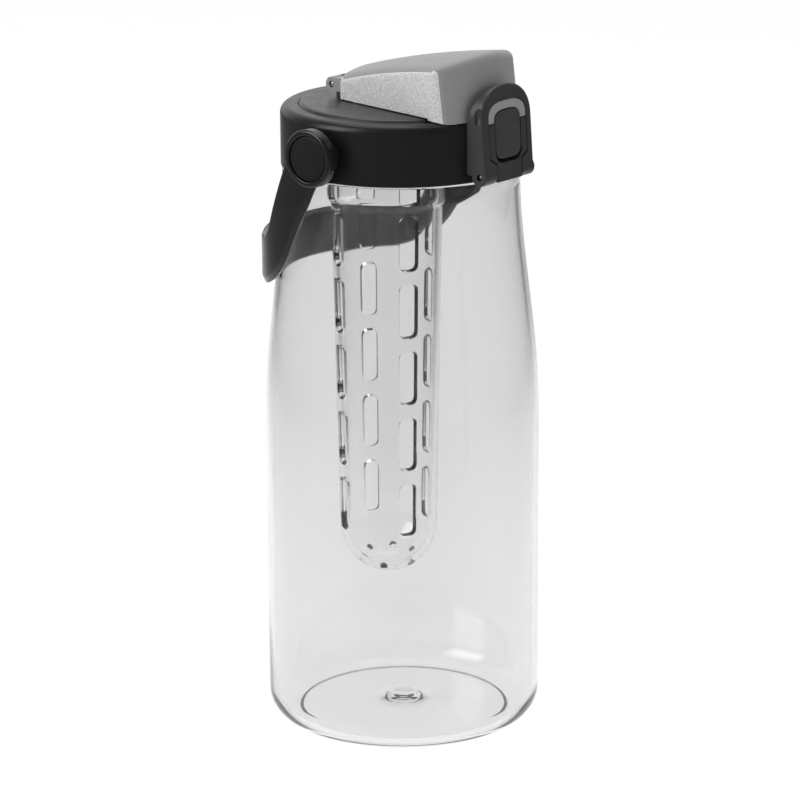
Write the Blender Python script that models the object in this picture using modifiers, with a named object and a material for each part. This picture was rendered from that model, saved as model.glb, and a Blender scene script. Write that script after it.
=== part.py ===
"""Clear infuser pitcher with a screw lid, flip cap, lock bail, rocker button and carry handle.

Frame: metres, +Z up, origin on the bottle's axis at the table. The latch faces -Y, the cap's
hinge lies toward +Y, and the carry handle turns about the X direction.
"""

import math

import bmesh
import bpy
from mathutils import Matrix, Vector

MM = 0.001

# Clearances
GAP = 0.3 * MM              # between pieces that meet face to face
RUN = 0.35 * MM             # between a pin and its hole

# Round work
STEPS = 48                  # facets round the axis of a large turned piece
SMALL_STEPS = 20            # facets round a pin, screw or small ring
CUT_THROUGH = 40.0 * MM     # length of a tool that cuts right through the latch

# Bottle
BODY_RADIUS = 57.9 * MM
BODY_WALL = 2.4 * MM
HEEL_RADIUS = 11.5 * MM     # round between wall and floor
FOOT_RECESS = 1.6 * MM      # the underside's middle stands this far off the table
FLOOR_THICK = 2.4 * MM
FLOOR_DOME = 2.6 * MM       # rise of the floor's middle over its edge
GATE_RADIUS = 7.5 * MM      # gate mark, a low button in the middle of the floor
GATE_TALL = 1.2 * MM
SHOULDER_LOW_Z = 134.0 * MM
SHOULDER_TOP_Z = 241.2 * MM
SHOULDER_SET_IN = 0.5 * MM  # the shoulder's top lies this far inside the collar's outline
NECK_RADIUS = 45.2 * MM
NECK_WALL = 2.2 * MM
NECK_TALL = 19.0 * MM

# Screw thread between neck and collar
THREAD_PITCH = 5.0 * MM
THREAD_RIDGE = 1.2 * MM     # radius of each rounded ridge
THREAD_PROUD = 1.4 * MM     # a ridge stands this far off its wall
THREAD_CLEAR = 0.6 * MM     # from a ridge's crest to the facing wall
THREAD_START = 7.5 * MM     # neck ridge's start above the shoulder
NECK_RIDGE_TURN = (0.0, 300.0)
COLLAR_RIDGE_TURN = (100.0, 280.0)

# Collar
COLLAR_WALL = 2.9 * MM
COLLAR_ROUND = 3.6 * MM     # round of the top outer edge
COLLAR_TOP_THICK = 2.2 * MM
COLLAR_CHAMFER = 0.5 * MM
BOSS_RADIUS = 8.2 * MM     # boss that carries the handle's eye
BOSS_REACH = 4.9 * MM       # boss's face off the collar's wall

# Gasket between the bottle's rim and the deck
GASKET_THICK = 1.6 * MM
GASKET_WIDE = 2.6 * MM

# Deck, the disc inside the collar
DECK_FLANGE_CLEAR = 1.0 * MM    # round the flange, inside the collar
DECK_FLANGE_WIDE = 3.6 * MM
DECK_FLANGE_THICK = 1.9 * MM
DECK_PROUD = 1.1 * MM       # deck's top over the collar's top
DECK_EDGE = 0.7 * MM

# Spout in the deck, and the seal under the cap
SPOUT_Y = -26.0 * MM
SPOUT_RADIUS = 9.8 * MM
SPOUT_WALL = 2.0 * MM
SPOUT_TALL = 11.0 * MM      # over the deck
SEAL_FLANGE_THICK = 1.7 * MM
SEAL_PLUG_DEEP = 1.6 * MM   # how far the plug enters the spout
SEAL_PLUG_CLEAR = 0.6 * MM
SEAL_BOSS_RADIUS = 6.0 * MM

# Infuser tube and its socket
INFUSER_Y = 8.0 * MM
INFUSER_DROP = 9.9 * MM         # the tube's top edge under the deck
INFUSER_RING_TALL = 28.0 * MM   # the thicker top ring
INFUSER_LONG = 169.5 * MM       # from the top edge to where the domed end starts
INFUSER_RING_RADIUS = 24.3 * MM
INFUSER_TOP_RADIUS = 23.4 * MM
INFUSER_END_RADIUS = 20.7 * MM  # where the domed end starts
INFUSER_WALL = 2.6 * MM
SLOT_COLUMNS = 4
SLOT_ROWS = 5
SLOT_START = 11.0 * MM          # middle of the lowest row over the domed end
SLOT_PITCH = 29.0 * MM
SLOT_LONG = 25.0 * MM
SLOT_WIDE = 10.0 * MM
SLOT_INNER = 0.6                # the slot narrows to this share at its inner end
SLOT_SQUARE = 3.2               # 2 makes the slot's ends half round, more makes them squarer
SLOT_TURN = 63.5                # degrees from +X to the first column
DRAIN_HOLES = 6
DRAIN_RADIUS = 1.6 * MM
DRAIN_ANGLE = 38.0              # degrees from straight down
SOCKET_CLEAR = 1.2 * MM         # between socket and infuser ring, where the O-ring sits
SOCKET_WALL = 1.9 * MM
SOCKET_BITE = 11.5 * MM         # how far the socket enters the tube
O_RING_UP = 4.0 * MM            # O-ring's middle over the socket's lower edge
O_RING_CLEAR = 0.25 * MM

# Flip cap
CAP_FRONT_IN = 0.9 * MM         # the cap's front lies this far inside the collar's outline
CAP_FRONT_LEAN = 3.0 * MM       # the front leans back this far over its height
CAP_REAR_Y = 20.5 * MM
CAP_REAR_HALF = 16.4 * MM       # half width at the rear
CAP_CORNER_HALF = 26.0 * MM     # half width at the front corners
CAP_REAR_TOP = 12.0 * MM        # crest height over the deck, at the rear
CAP_FRONT_TOP = 24.6 * MM       # the same, at the front
CAP_BULGE = 1.9 * MM            # the crest bows up between its ends
CAP_CROWN = 2.6 * MM            # the crest over the side edges
CAP_LIFT = 0.5 * MM             # skirt's lower edge over the deck and the collar
CAP_SKIRT_DROP = 0.9 * MM       # the front skirt's lip lies this far below the collar's top
CAP_WALL = 2.0 * MM
CAP_ROUND = 3.2 * MM            # round of the top edges

# Hinge at the cap's rear
HINGE_Y = 25.2 * MM
HINGE_UP = 5.6 * MM             # pin's axis over the deck
KNUCKLE_RADIUS = 3.1 * MM
CAP_KNUCKLE_OUT = 14.6 * MM     # outer end of each cap knuckle
DECK_LUG_OUT = 8.6 * MM         # outer side of each deck lug
DECK_LUG_IN = 5.4 * MM
HINGE_PIN_RADIUS = 1.1 * MM

# Spring on the hinge pin
SPRING_WIRE = 0.4 * MM          # radius of the wire
SPRING_COIL = 2.0 * MM          # radius of the coil's middle line
SPRING_TURNS = 5
SPRING_LEG = 9.0 * MM

# Latch on the collar's front
LATCH_PROUD = 7.5 * MM          # front face of the latch at its foot, off the collar
LATCH_LEAN = 0.07               # the front leans back this much for each unit of height
LATCH_BACK_CLEAR = 0.35 * MM    # behind the latch pieces, to the collar
BAIL_HALF = 16.2 * MM
BAIL_RISE = 14.4 * MM           # bail's top over the collar's top
BAIL_ARCH_TALL = 14.4 * MM      # height of the arch's curved part
BAIL_FRAME = 3.8 * MM           # width of each leg
BAIL_CROSS = 6.2 * MM           # depth of the arch at its top
BAIL_SQUARE = 2.25              # 2 makes the arch half an ellipse, more makes it squarer
BAIL_THIN = 3.2 * MM            # the arch's back slopes forward this much up to its top
SCOOP_UP = 3.7 * MM             # thumb scoop on each side of the bail, over the collar's top
SCOOP_SIZE = (1.5 * MM, 2.0 * MM, 4.6 * MM)
OPENING_ARCH_TALL = 7.8 * MM    # height of the curved part of the opening in the arch
OPENING_SQUARE = 2.9
FOOT_PIN_UP = 3.3 * MM          # over the collar's lower edge
FOOT_PIN_OUT = 3.8 * MM         # off the collar
FOOT_RADIUS = 3.8 * MM
FOOT_INNER = 8.2 * MM           # inner face of each foot
FOOT_FLARE = 3.6 * MM           # height over which the leg widens to the foot
BAIL_PIN_RADIUS = 1.0 * MM
INLAY_WIDE = 3.5 * MM
INLAY_DEEP = 2.8 * MM
INLAY_DROP = 0.6 * MM           # inlay's lower end under the collar's top
BUTTON_CLEAR = 0.35 * MM        # round the button
BUTTON_UP = 9.5 * MM            # button's lower end over the collar's lower edge
BUTTON_GAP_BELOW = 1.5 * MM
BUTTON_PROUD = 0.15 * MM        # its face off the latch's leaning front
BUTTON_BACK_IN = 4.0 * MM       # its flat back, behind the latch's foot
BUTTON_ROUND = 4.5 * MM         # lower corners of the button
BUTTON_PIN_UP = 11.0 * MM       # over the button's lower end
BUTTON_PIN_IN = 4.1 * MM        # behind the latch's foot
BUTTON_PIN_RADIUS = 0.8 * MM
HOUSING_PLATE = 1.0 * MM        # plate behind the button
WELL_ROUND = 4.5 * MM           # lower corners of the button's well
HOOK_TIP_CLEAR = 0.35 * MM      # from the catch's tip to the cap's sweep
HOOK_HALF = 4.6 * MM
HOOK_THICK = 1.6 * MM
COMPRESSION_WIRE = 0.25 * MM
COMPRESSION_COIL = 2.1 * MM
COMPRESSION_TURNS = 3
COMPRESSION_LONG = 3.0 * MM
COMPRESSION_UP = 4.6 * MM       # spring's middle over the button's lower end
SPRING_POCKET = 2.4 * MM        # depth of the spring's pocket in the button's back

# Carry handle
HANDLE_PIVOT_UP = 11.3 * MM     # over the collar's lower edge
EYE_RADIUS = 12.0 * MM
EYE_THICK = 4.8 * MM
EYE_WEB = 1.7 * MM              # thickness left under the eye's recess
COVER_RADIUS = 9.2 * MM
COVER_THICK = 1.2 * MM
SCREW_RADIUS = 2.6 * MM
SCREW_HEAD_RADIUS = 5.4 * MM
SCREW_HEAD_THICK = 0.8 * MM
SCREW_BITE = 4.2 * MM           # how far the screw enters the boss
STRAP_SET_IN = 1.6 * MM         # outer face of the strap inside the eye's face
STRAP_THICK = 3.4 * MM
STRAP_BACK_THICK = 2.5 * MM     # round the back, where it stands over the bottle's wider part
STRAP_ARM_WIDE = 19.2 * MM
STRAP_BACK_WIDE = 20.2 * MM
STRAP_FALL = 50.6 * MM          # from the pivot down to the band's middle
STRAP_ARM_START = 1.8 * MM      # the arm's middle line starts this far behind the pivot
STRAP_ARM_RUN = 30.4 * MM       # along the bottle from the pivot to where arm and band lines meet
STRAP_BEND = 15.0 * MM          # from that corner to each end of the bend
STRAP_FILL = 0.4 * MM           # the upper edge fills the inside of the bend by this much
STRAP_STEPS = 15                # rows of the strip from pivot to back

# What follows from the sizes above
RIM_Z = SHOULDER_TOP_Z + NECK_TALL
COLLAR_BORE = NECK_RADIUS + THREAD_PROUD + THREAD_CLEAR
COLLAR_RADIUS = COLLAR_BORE + COLLAR_WALL
COLLAR_LOW_Z = SHOULDER_TOP_Z + GAP
GASKET_LOW_Z = RIM_Z + GAP
FLANGE_LOW_Z = GASKET_LOW_Z + GASKET_THICK + GAP
FLANGE_TOP_Z = FLANGE_LOW_Z + DECK_FLANGE_THICK
COLLAR_TOP_Z = FLANGE_TOP_Z + GAP + COLLAR_TOP_THICK
DECK_RADIUS = COLLAR_BORE - DECK_FLANGE_CLEAR - DECK_FLANGE_WIDE
DECK_TOP_Z = COLLAR_TOP_Z + DECK_PROUD
HINGE_Z = DECK_TOP_Z + HINGE_UP
SPOUT_TOP_Z = DECK_TOP_Z + SPOUT_TALL
INFUSER_TOP_Z = FLANGE_LOW_Z - INFUSER_DROP
INFUSER_RING_Z = INFUSER_TOP_Z - INFUSER_RING_TALL
INFUSER_END_Z = INFUSER_TOP_Z - INFUSER_LONG
INFUSER_BORE = INFUSER_RING_RADIUS - INFUSER_WALL
SLOT_FIRST_Z = INFUSER_END_Z + SLOT_START
SOCKET_LOW_Z = INFUSER_TOP_Z - SOCKET_BITE
O_RING_Z = SOCKET_LOW_Z + O_RING_UP
SOCKET_RADIUS = INFUSER_BORE - SOCKET_CLEAR
CAP_FRONT_RADIUS = COLLAR_RADIUS - CAP_FRONT_IN
LATCH_BACK = COLLAR_RADIUS + LATCH_BACK_CLEAR
LATCH_FRONT = COLLAR_RADIUS + LATCH_PROUD
BAIL_TOP_Z = COLLAR_TOP_Z + BAIL_RISE
SCOOP_Z = COLLAR_TOP_Z + SCOOP_UP
FOOT_PIN_Z = COLLAR_LOW_Z + FOOT_PIN_UP
FOOT_PIN_Y = -COLLAR_RADIUS - FOOT_PIN_OUT
INLAY_LOW_Z = COLLAR_TOP_Z - INLAY_DROP
BUTTON_LOW_Z = COLLAR_LOW_Z + BUTTON_UP
BUTTON_BACK_Y = -LATCH_FRONT + BUTTON_BACK_IN
BUTTON_PIN_Z = BUTTON_LOW_Z + BUTTON_PIN_UP
BUTTON_PIN_Y = -LATCH_FRONT + BUTTON_PIN_IN
COMPRESSION_Z = BUTTON_LOW_Z + COMPRESSION_UP
BAIL_INNER = BAIL_HALF - BAIL_FRAME
INLAY_OUTER = BAIL_INNER - GAP
INLAY_INNER = INLAY_OUTER - INLAY_WIDE
BUTTON_HALF = INLAY_INNER - BUTTON_CLEAR
INLAY_TOP_Z = BAIL_TOP_Z - BAIL_CROSS - GAP
BUTTON_TOP_Z = INLAY_TOP_Z - INLAY_WIDE - BUTTON_CLEAR
CAP_LIP_Z = COLLAR_TOP_Z - CAP_SKIRT_DROP
HANDLE_PIVOT_Z = COLLAR_LOW_Z + HANDLE_PIVOT_UP
EYE_FACE = COLLAR_RADIUS + BOSS_REACH + GAP + EYE_THICK
STRAP_RADIUS = EYE_FACE - STRAP_SET_IN
STRAP_BACK_Z = HANDLE_PIVOT_Z - STRAP_FALL


def collection(name):
    group = bpy.data.collections.new(name)
    bpy.context.scene.collection.children.link(group)
    return group


for old in list(bpy.data.objects):
    bpy.data.objects.remove(old, do_unlink=True)

PARTS = collection("infuser_pitcher")
CUTTERS = collection("cutters")


def material(name, color, roughness, metallic=0.0, alpha=1.0):
    mat = bpy.data.materials.new(name)
    mat.use_nodes = True
    shader = mat.node_tree.nodes["Principled BSDF"]
    shader.inputs["Base Color"].default_value = (*color, 1.0)
    shader.inputs["Roughness"].default_value = roughness
    shader.inputs["Metallic"].default_value = metallic
    shader.inputs["Alpha"].default_value = alpha
    mat.diffuse_color = (*color, alpha)
    return mat


CLEAR = material("clear_plastic", (0.86, 0.87, 0.87), 0.05, alpha=0.3)
BLACK = material("black_plastic", (0.022, 0.022, 0.023), 0.4)
DARK = material("dark_plastic", (0.05, 0.05, 0.052), 0.4)
GREY = material("grey_plastic", (0.33, 0.34, 0.34), 0.45)
SILICONE = material("silicone", (0.7, 0.7, 0.68), 0.6)
STEEL = material("steel", (0.6, 0.6, 0.62), 0.25, metallic=1.0)


def place(obj, mat, group=PARTS):
    group.objects.link(obj)
    if mat:
        obj.data.materials.append(mat)
    return obj


def object_from(name, bm, mat, group=PARTS):
    mesh = bpy.data.meshes.new(name)
    bm.to_mesh(mesh)
    bm.free()
    return place(bpy.data.objects.new(name, mesh), mat, group)


def smooth(obj, angle=35.0):
    obj.data.shade_smooth()
    obj.data.set_sharp_from_angle(angle=math.radians(angle))


def turned(name, points, mat, closed=False, steps=STEPS, centre=(0.0, 0.0), group=PARTS):
    """A solid of revolution about Z. The points (radius, z) run down the outer side."""
    bm = bmesh.new()
    verts = [bm.verts.new((r, 0.0, z)) for r, z in points]
    for a, b in zip(verts, verts[1:]):
        bm.edges.new((a, b))
    if closed:
        bm.edges.new((verts[-1], verts[0]))
    obj = object_from(name, bm, mat, group)
    obj.location = (centre[0], centre[1], 0.0)
    screw = obj.modifiers.new("Turn", "SCREW")
    screw.steps = steps
    screw.render_steps = steps
    screw.use_merge_vertices = True
    screw.merge_threshold = 0.000005
    screw.use_smooth_shade = True
    return obj


def cylinder(name, radius, start, end, mat=None, steps=SMALL_STEPS, group=PARTS, radius_end=None):
    """A round bar from one point to another."""
    start, end = Vector(start), Vector(end)
    run = end - start
    bm = bmesh.new()
    bmesh.ops.create_cone(bm, cap_ends=True, segments=steps, radius1=radius,
                          radius2=radius if radius_end is None else radius_end, depth=run.length)
    turn = Vector((0, 0, 1)).rotation_difference(run).to_matrix().to_4x4()
    bmesh.ops.transform(bm, matrix=Matrix.Translation((start + end) / 2) @ turn, verts=bm.verts)
    obj = object_from(name, bm, mat, group)
    smooth(obj)
    return obj


def box(name, low, high, mat=None, group=PARTS):
    low, high = Vector(low), Vector(high)
    bm = bmesh.new()
    bmesh.ops.create_cube(bm, size=1.0)
    size = high - low
    grow = Matrix.Diagonal((size.x, size.y, size.z, 1.0))
    bmesh.ops.transform(bm, matrix=Matrix.Translation((low + high) / 2) @ grow, verts=bm.verts)
    return object_from(name, bm, mat, group)


def boolean(target, tool, operation):
    """Cut the tool from the target, or join it on. The tool itself is only a guide."""
    for group in tool.users_collection:
        group.objects.unlink(tool)
    CUTTERS.objects.link(tool)
    tool.hide_render = True
    tool.display_type = "WIRE"
    step = target.modifiers.new(f"{operation.title()} {tool.name}", "BOOLEAN")
    step.operation = operation
    step.object = tool
    return target


def cut(target, tool):
    return boolean(target, tool, "DIFFERENCE")


def join(target, tool):
    return boolean(target, tool, "UNION")


def bevel(obj, width, segments=2, angle=40.0):
    step = obj.modifiers.new("Round edges", "BEVEL")
    step.width = width
    step.segments = segments
    step.limit_method = "ANGLE"
    step.angle_limit = math.radians(angle)
    return obj


def tube(name, points, radius, mat, cyclic=False, sides=2):
    """A round wire along the points, as one closed mesh."""
    curve = bpy.data.curves.new(name, "CURVE")
    curve.dimensions = "3D"
    curve.bevel_depth = radius
    curve.bevel_resolution = sides
    curve.use_fill_caps = True
    line = curve.splines.new("POLY")
    line.points.add(len(points) - 1)
    for point, place_at in zip(line.points, points):
        point.co = (*place_at, 1.0)
    line.use_cyclic_u = cyclic
    return mesh_from_curve(name, curve, mat)


def plate(name, outline, thick, mat):
    """A flat outline in the XZ plane, given thickness along Y and centred on y = 0."""
    curve = bpy.data.curves.new(name, "CURVE")
    curve.dimensions = "2D"
    curve.fill_mode = "BOTH"
    curve.extrude = thick / 2
    line = curve.splines.new("POLY")
    line.points.add(len(outline) - 1)
    for point, (x, z) in zip(line.points, outline):
        point.co = (x, z, 0.0, 1.0)
    line.use_cyclic_u = True
    obj = mesh_from_curve(name, curve, mat)
    stand = Matrix.Rotation(math.radians(90), 4, "X")
    obj.data.transform(stand)
    return obj


def mesh_from_curve(name, curve, mat):
    guide = bpy.data.objects.new(name + "_curve", curve)
    bpy.context.scene.collection.objects.link(guide)
    bpy.context.view_layer.update()
    depsgraph = bpy.context.evaluated_depsgraph_get()
    mesh = bpy.data.meshes.new_from_object(guide.evaluated_get(depsgraph))
    bpy.data.objects.remove(guide, do_unlink=True)
    bm = bmesh.new()
    bm.from_mesh(mesh)
    bmesh.ops.remove_doubles(bm, verts=bm.verts, dist=0.000002)
    bmesh.ops.recalc_face_normals(bm, faces=bm.faces)
    bm.to_mesh(mesh)
    bm.free()
    mesh.name = name
    return place(bpy.data.objects.new(name, mesh), mat)


def arc(centre, radius, start, end, count):
    """Points (a, b) on an arc, in degrees, both ends included."""
    points = []
    for i in range(count + 1):
        t = math.radians(start + (end - start) * i / count)
        points.append((centre[0] + radius * math.cos(t), centre[1] + radius * math.sin(t)))
    return points


def ease(share):
    """A smooth step from 0 to 1."""
    return (1.0 - math.cos(math.pi * min(max(share, 0.0), 1.0))) / 2.0


def squared(part, square):
    """One coordinate of a unit circle, pushed toward a square's: 2 keeps the circle."""
    return math.copysign(abs(part) ** (2 / square), part)


# Bottle

def body_outline(z):
    """Outer radius of the bottle's wall at a height."""
    top = COLLAR_RADIUS - SHOULDER_SET_IN
    waist = ease((z - SHOULDER_LOW_Z) / (SHOULDER_TOP_Z - SHOULDER_LOW_Z))
    return BODY_RADIUS + (top - BODY_RADIUS) * waist


def shoulder_heights(count):
    span = SHOULDER_TOP_Z - SHOULDER_LOW_Z
    return [SHOULDER_LOW_Z + span * i / count for i in range(count + 1)]


def helix(radius, z_start, turn, pitch=THREAD_PITCH):
    """Points along a thread ridge, between two angles in degrees."""
    count = int((turn[1] - turn[0]) / 15)
    points = []
    for i in range(count + 1):
        degrees = turn[0] + (turn[1] - turn[0]) * i / count
        t = math.radians(degrees)
        points.append((radius * math.cos(t), radius * math.sin(t), z_start + pitch * degrees / 360))
    return points


def make_bottle():
    foot_radius = BODY_RADIUS - HEEL_RADIUS
    floor_edge = FOOT_RECESS + FLOOR_THICK
    inner_heel = HEEL_RADIUS - BODY_WALL
    inside = [(0.0, floor_edge + FLOOR_DOME + GATE_TALL), (GATE_RADIUS * 0.8, floor_edge + FLOOR_DOME + GATE_TALL),
              (GATE_RADIUS, floor_edge + FLOOR_DOME)]
    inside += [(foot_radius * 0.6, floor_edge + FLOOR_DOME * 0.6)]
    heel_centre = (BODY_RADIUS - BODY_WALL - inner_heel, floor_edge + inner_heel)
    inside += arc(heel_centre, inner_heel, -90, 0, 3)
    inside += [(body_outline(z) - BODY_WALL, z) for z in shoulder_heights(8)[:-1]]
    neck_bore = NECK_RADIUS - NECK_WALL
    inside += [(neck_bore, SHOULDER_TOP_Z + NECK_WALL), (neck_bore, RIM_Z)]
    outside = [(NECK_RADIUS, RIM_Z), (NECK_RADIUS, SHOULDER_TOP_Z)]
    outside += [(body_outline(z), z) for z in reversed(shoulder_heights(8))]
    outside += arc((foot_radius, HEEL_RADIUS), HEEL_RADIUS, 0, -90, 5)
    outside += [(foot_radius - 5 * MM, 0.0), (foot_radius - 7 * MM, FOOT_RECESS), (0.0, FOOT_RECESS)]
    bottle = turned("bottle", inside + outside, CLEAR)
    ridge = tube("neck_ridge", helix(NECK_RADIUS + THREAD_PROUD - THREAD_RIDGE,
                                     SHOULDER_TOP_Z + THREAD_START, NECK_RIDGE_TURN),
                 THREAD_RIDGE, CLEAR)
    return join(bottle, ridge)


# Lid: collar, gasket and deck

def make_gasket():
    inner = NECK_RADIUS - NECK_WALL
    outer = inner + GASKET_WIDE
    low, high = GASKET_LOW_Z, GASKET_LOW_Z + GASKET_THICK
    return turned("lid_gasket", [(outer, high), (outer, low), (inner, low), (inner, high)],
                  SILICONE, closed=True)


def make_collar():
    hole = DECK_RADIUS + GAP * 1.5
    outline = [(hole, COLLAR_TOP_Z)]
    outline += arc((COLLAR_RADIUS - COLLAR_ROUND, COLLAR_TOP_Z - COLLAR_ROUND), COLLAR_ROUND, 90, 0, 4)
    outline += [(COLLAR_RADIUS, COLLAR_LOW_Z + COLLAR_CHAMFER),
                (COLLAR_RADIUS - COLLAR_CHAMFER, COLLAR_LOW_Z),
                (COLLAR_BORE, COLLAR_LOW_Z), (COLLAR_BORE, FLANGE_TOP_Z + GAP), (hole, FLANGE_TOP_Z + GAP)]
    collar = turned("lid_collar", outline, BLACK, closed=True)
    for side in (-1, 1):
        wall_middle = COLLAR_BORE + COLLAR_WALL * 0.35
        boss = cylinder("handle_boss", BOSS_RADIUS, (side * wall_middle, 0, HANDLE_PIVOT_Z),
                        (side * (COLLAR_RADIUS + BOSS_REACH), 0, HANDLE_PIVOT_Z), steps=28)
        join(collar, boss)
    for side in (-1, 1):
        face = COLLAR_RADIUS + BOSS_REACH
        hole_tool = cylinder("handle_screw_hole", SCREW_RADIUS + RUN,
                             (side * (face - SCREW_BITE - GAP), 0, HANDLE_PIVOT_Z),
                             (side * (face + 1 * MM), 0, HANDLE_PIVOT_Z))
        cut(collar, hole_tool)
    ridge = tube("collar_ridge", helix(COLLAR_BORE - THREAD_PROUD + THREAD_RIDGE,
                                       SHOULDER_TOP_Z + THREAD_START - THREAD_PITCH / 2, COLLAR_RIDGE_TURN),
                 THREAD_RIDGE, BLACK)
    return join(collar, ridge)


def make_deck():
    flange = DECK_RADIUS + DECK_FLANGE_WIDE
    outline = [(0.0, DECK_TOP_Z), (DECK_RADIUS - DECK_EDGE, DECK_TOP_Z), (DECK_RADIUS, DECK_TOP_Z - DECK_EDGE),
               (DECK_RADIUS, FLANGE_TOP_Z), (flange, FLANGE_TOP_Z), (flange, FLANGE_LOW_Z), (0.0, FLANGE_LOW_Z)]
    deck = turned("lid_deck", outline, BLACK)
    middle_z = (FLANGE_LOW_Z + DECK_TOP_Z) / 2
    socket = turned("infuser_socket",
                    [(SOCKET_RADIUS, middle_z), (SOCKET_RADIUS, SOCKET_LOW_Z),
                     (SOCKET_RADIUS - SOCKET_WALL, SOCKET_LOW_Z), (SOCKET_RADIUS - SOCKET_WALL, middle_z)],
                    BLACK, closed=True, steps=32, centre=(0.0, INFUSER_Y))
    join(deck, socket)
    spout = cylinder("spout", SPOUT_RADIUS, (0, SPOUT_Y, middle_z), (0, SPOUT_Y, SPOUT_TOP_Z), steps=32)
    join(deck, spout)
    cut(deck, cylinder("spout_bore", SPOUT_RADIUS - SPOUT_WALL, (0, SPOUT_Y, FLANGE_LOW_Z - 1 * MM),
                       (0, SPOUT_Y, SPOUT_TOP_Z + 1 * MM), steps=32))
    for side in (-1, 1):
        inner, outer = sorted((side * DECK_LUG_IN, side * DECK_LUG_OUT))
        lug = cylinder("hinge_lug", KNUCKLE_RADIUS, (inner, HINGE_Y, HINGE_Z), (outer, HINGE_Y, HINGE_Z))
        join(deck, lug)
        foot = box("hinge_lug_foot", (inner, HINGE_Y - KNUCKLE_RADIUS * 0.8, middle_z),
                   (outer, HINGE_Y + KNUCKLE_RADIUS * 0.8, HINGE_Z - 0.4 * MM))
        join(deck, foot)
    cut(deck, cylinder("hinge_hole", HINGE_PIN_RADIUS + RUN, (-DECK_LUG_OUT - 1 * MM, HINGE_Y, HINGE_Z),
                       (DECK_LUG_OUT + 1 * MM, HINGE_Y, HINGE_Z)))
    return deck


def make_o_ring():
    thick = (SOCKET_CLEAR - 2 * O_RING_CLEAR) / 2
    middle = SOCKET_RADIUS + SOCKET_CLEAR / 2
    points = []
    for i in range(32):
        t = 2 * math.pi * i / 32
        points.append((middle * math.cos(t), INFUSER_Y + middle * math.sin(t), O_RING_Z))
    return tube("infuser_o_ring", points, thick, SILICONE, cyclic=True, sides=1)


# Infuser tube

def infuser_radius(z):
    share = (z - INFUSER_END_Z) / (INFUSER_RING_Z - INFUSER_END_Z)
    return INFUSER_END_RADIUS + (INFUSER_TOP_RADIUS - INFUSER_END_RADIUS) * share


def slot_cutters():
    """Every slot as a rounded bar that narrows toward the tube's axis, in one mesh."""
    bm = bmesh.new()
    reach = INFUSER_RING_RADIUS + 2 * MM
    inner_reach = INFUSER_END_RADIUS - INFUSER_WALL - 2 * MM
    stretch = SLOT_LONG / 2 - SLOT_WIDE / 2
    for column in range(SLOT_COLUMNS):
        turn = Matrix.Rotation(math.radians(SLOT_TURN + 360 / SLOT_COLUMNS * column), 4, "Z")
        for row in range(SLOT_ROWS + 1):
            z = SLOT_FIRST_Z + SLOT_PITCH * row
            made = bmesh.ops.create_cone(bm, cap_ends=True, segments=16, radius1=SLOT_WIDE / 2 * SLOT_INNER,
                                         radius2=SLOT_WIDE / 2, depth=reach - inner_reach)
            lie = Matrix.Rotation(math.radians(90), 4, "Y")
            bmesh.ops.transform(bm, matrix=lie, verts=made["verts"])
            top_row = row == SLOT_ROWS
            for vert in made["verts"]:
                radius = math.hypot(vert.co.y, vert.co.z)
                turned_by = math.atan2(vert.co.z, vert.co.y)
                vert.co.y = radius * squared(math.cos(turned_by), SLOT_SQUARE)
                vert.co.z = radius * squared(math.sin(turned_by), SLOT_SQUARE)
                if vert.co.z > 0.00001:
                    vert.co.z += SLOT_LONG * 2 if top_row else stretch
                elif vert.co.z < -0.00001:
                    vert.co.z -= stretch
                else:
                    vert.co.z = 0.0
                vert.co.x += (reach + inner_reach) / 2
                vert.co.z += z
            bmesh.ops.transform(bm, matrix=turn, verts=made["verts"])
    slots = object_from("infuser_slots", bm, None, CUTTERS)
    slots.location = (0.0, INFUSER_Y, 0.0)
    return slots


def drain_cutters():
    bm = bmesh.new()
    for hole in range(DRAIN_HOLES):
        made = bmesh.ops.create_cone(bm, cap_ends=True, segments=8, radius1=DRAIN_RADIUS,
                                     radius2=DRAIN_RADIUS, depth=INFUSER_WALL * 4)
        lean = Matrix.Rotation(math.radians(180 - DRAIN_ANGLE), 4, "Y")
        out = Matrix.Translation((0, 0, INFUSER_END_RADIUS))
        turn = Matrix.Rotation(math.radians(360 / DRAIN_HOLES * (hole + 0.5)), 4, "Z")
        bmesh.ops.transform(bm, matrix=turn @ lean @ out, verts=made["verts"])
    drains = object_from("infuser_drains", bm, None, CUTTERS)
    drains.location = (0.0, INFUSER_Y, INFUSER_END_Z)
    return drains


def make_infuser():
    end_bore = INFUSER_END_RADIUS - INFUSER_WALL
    inside = arc((0.0, INFUSER_END_Z), end_bore, -90, 0, 5)
    inside += [(infuser_radius(INFUSER_RING_Z) - INFUSER_WALL, INFUSER_RING_Z - 1 * MM),
               (INFUSER_BORE, INFUSER_RING_Z), (INFUSER_BORE, INFUSER_TOP_Z)]
    outside = [(INFUSER_RING_RADIUS, INFUSER_TOP_Z), (INFUSER_RING_RADIUS, INFUSER_RING_Z),
               (infuser_radius(INFUSER_RING_Z), INFUSER_RING_Z - 1 * MM)]
    outside += arc((0.0, INFUSER_END_Z), INFUSER_END_RADIUS, 0, -90, 6)
    infuser = turned("infuser_tube", inside + outside, CLEAR, steps=32, centre=(0.0, INFUSER_Y))
    cut(infuser, slot_cutters())
    return cut(infuser, drain_cutters())


# Flip cap, its seal and its hinge

def cap_crest(y):
    """Height of the cap's middle line."""
    front = -CAP_FRONT_RADIUS + CAP_FRONT_LEAN
    share = (CAP_REAR_Y - y) / (CAP_REAR_Y - front)
    bulge = CAP_BULGE * 4 * share * (1 - share)
    return DECK_TOP_Z + CAP_REAR_TOP + (CAP_FRONT_TOP - CAP_REAR_TOP) * share + bulge


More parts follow.
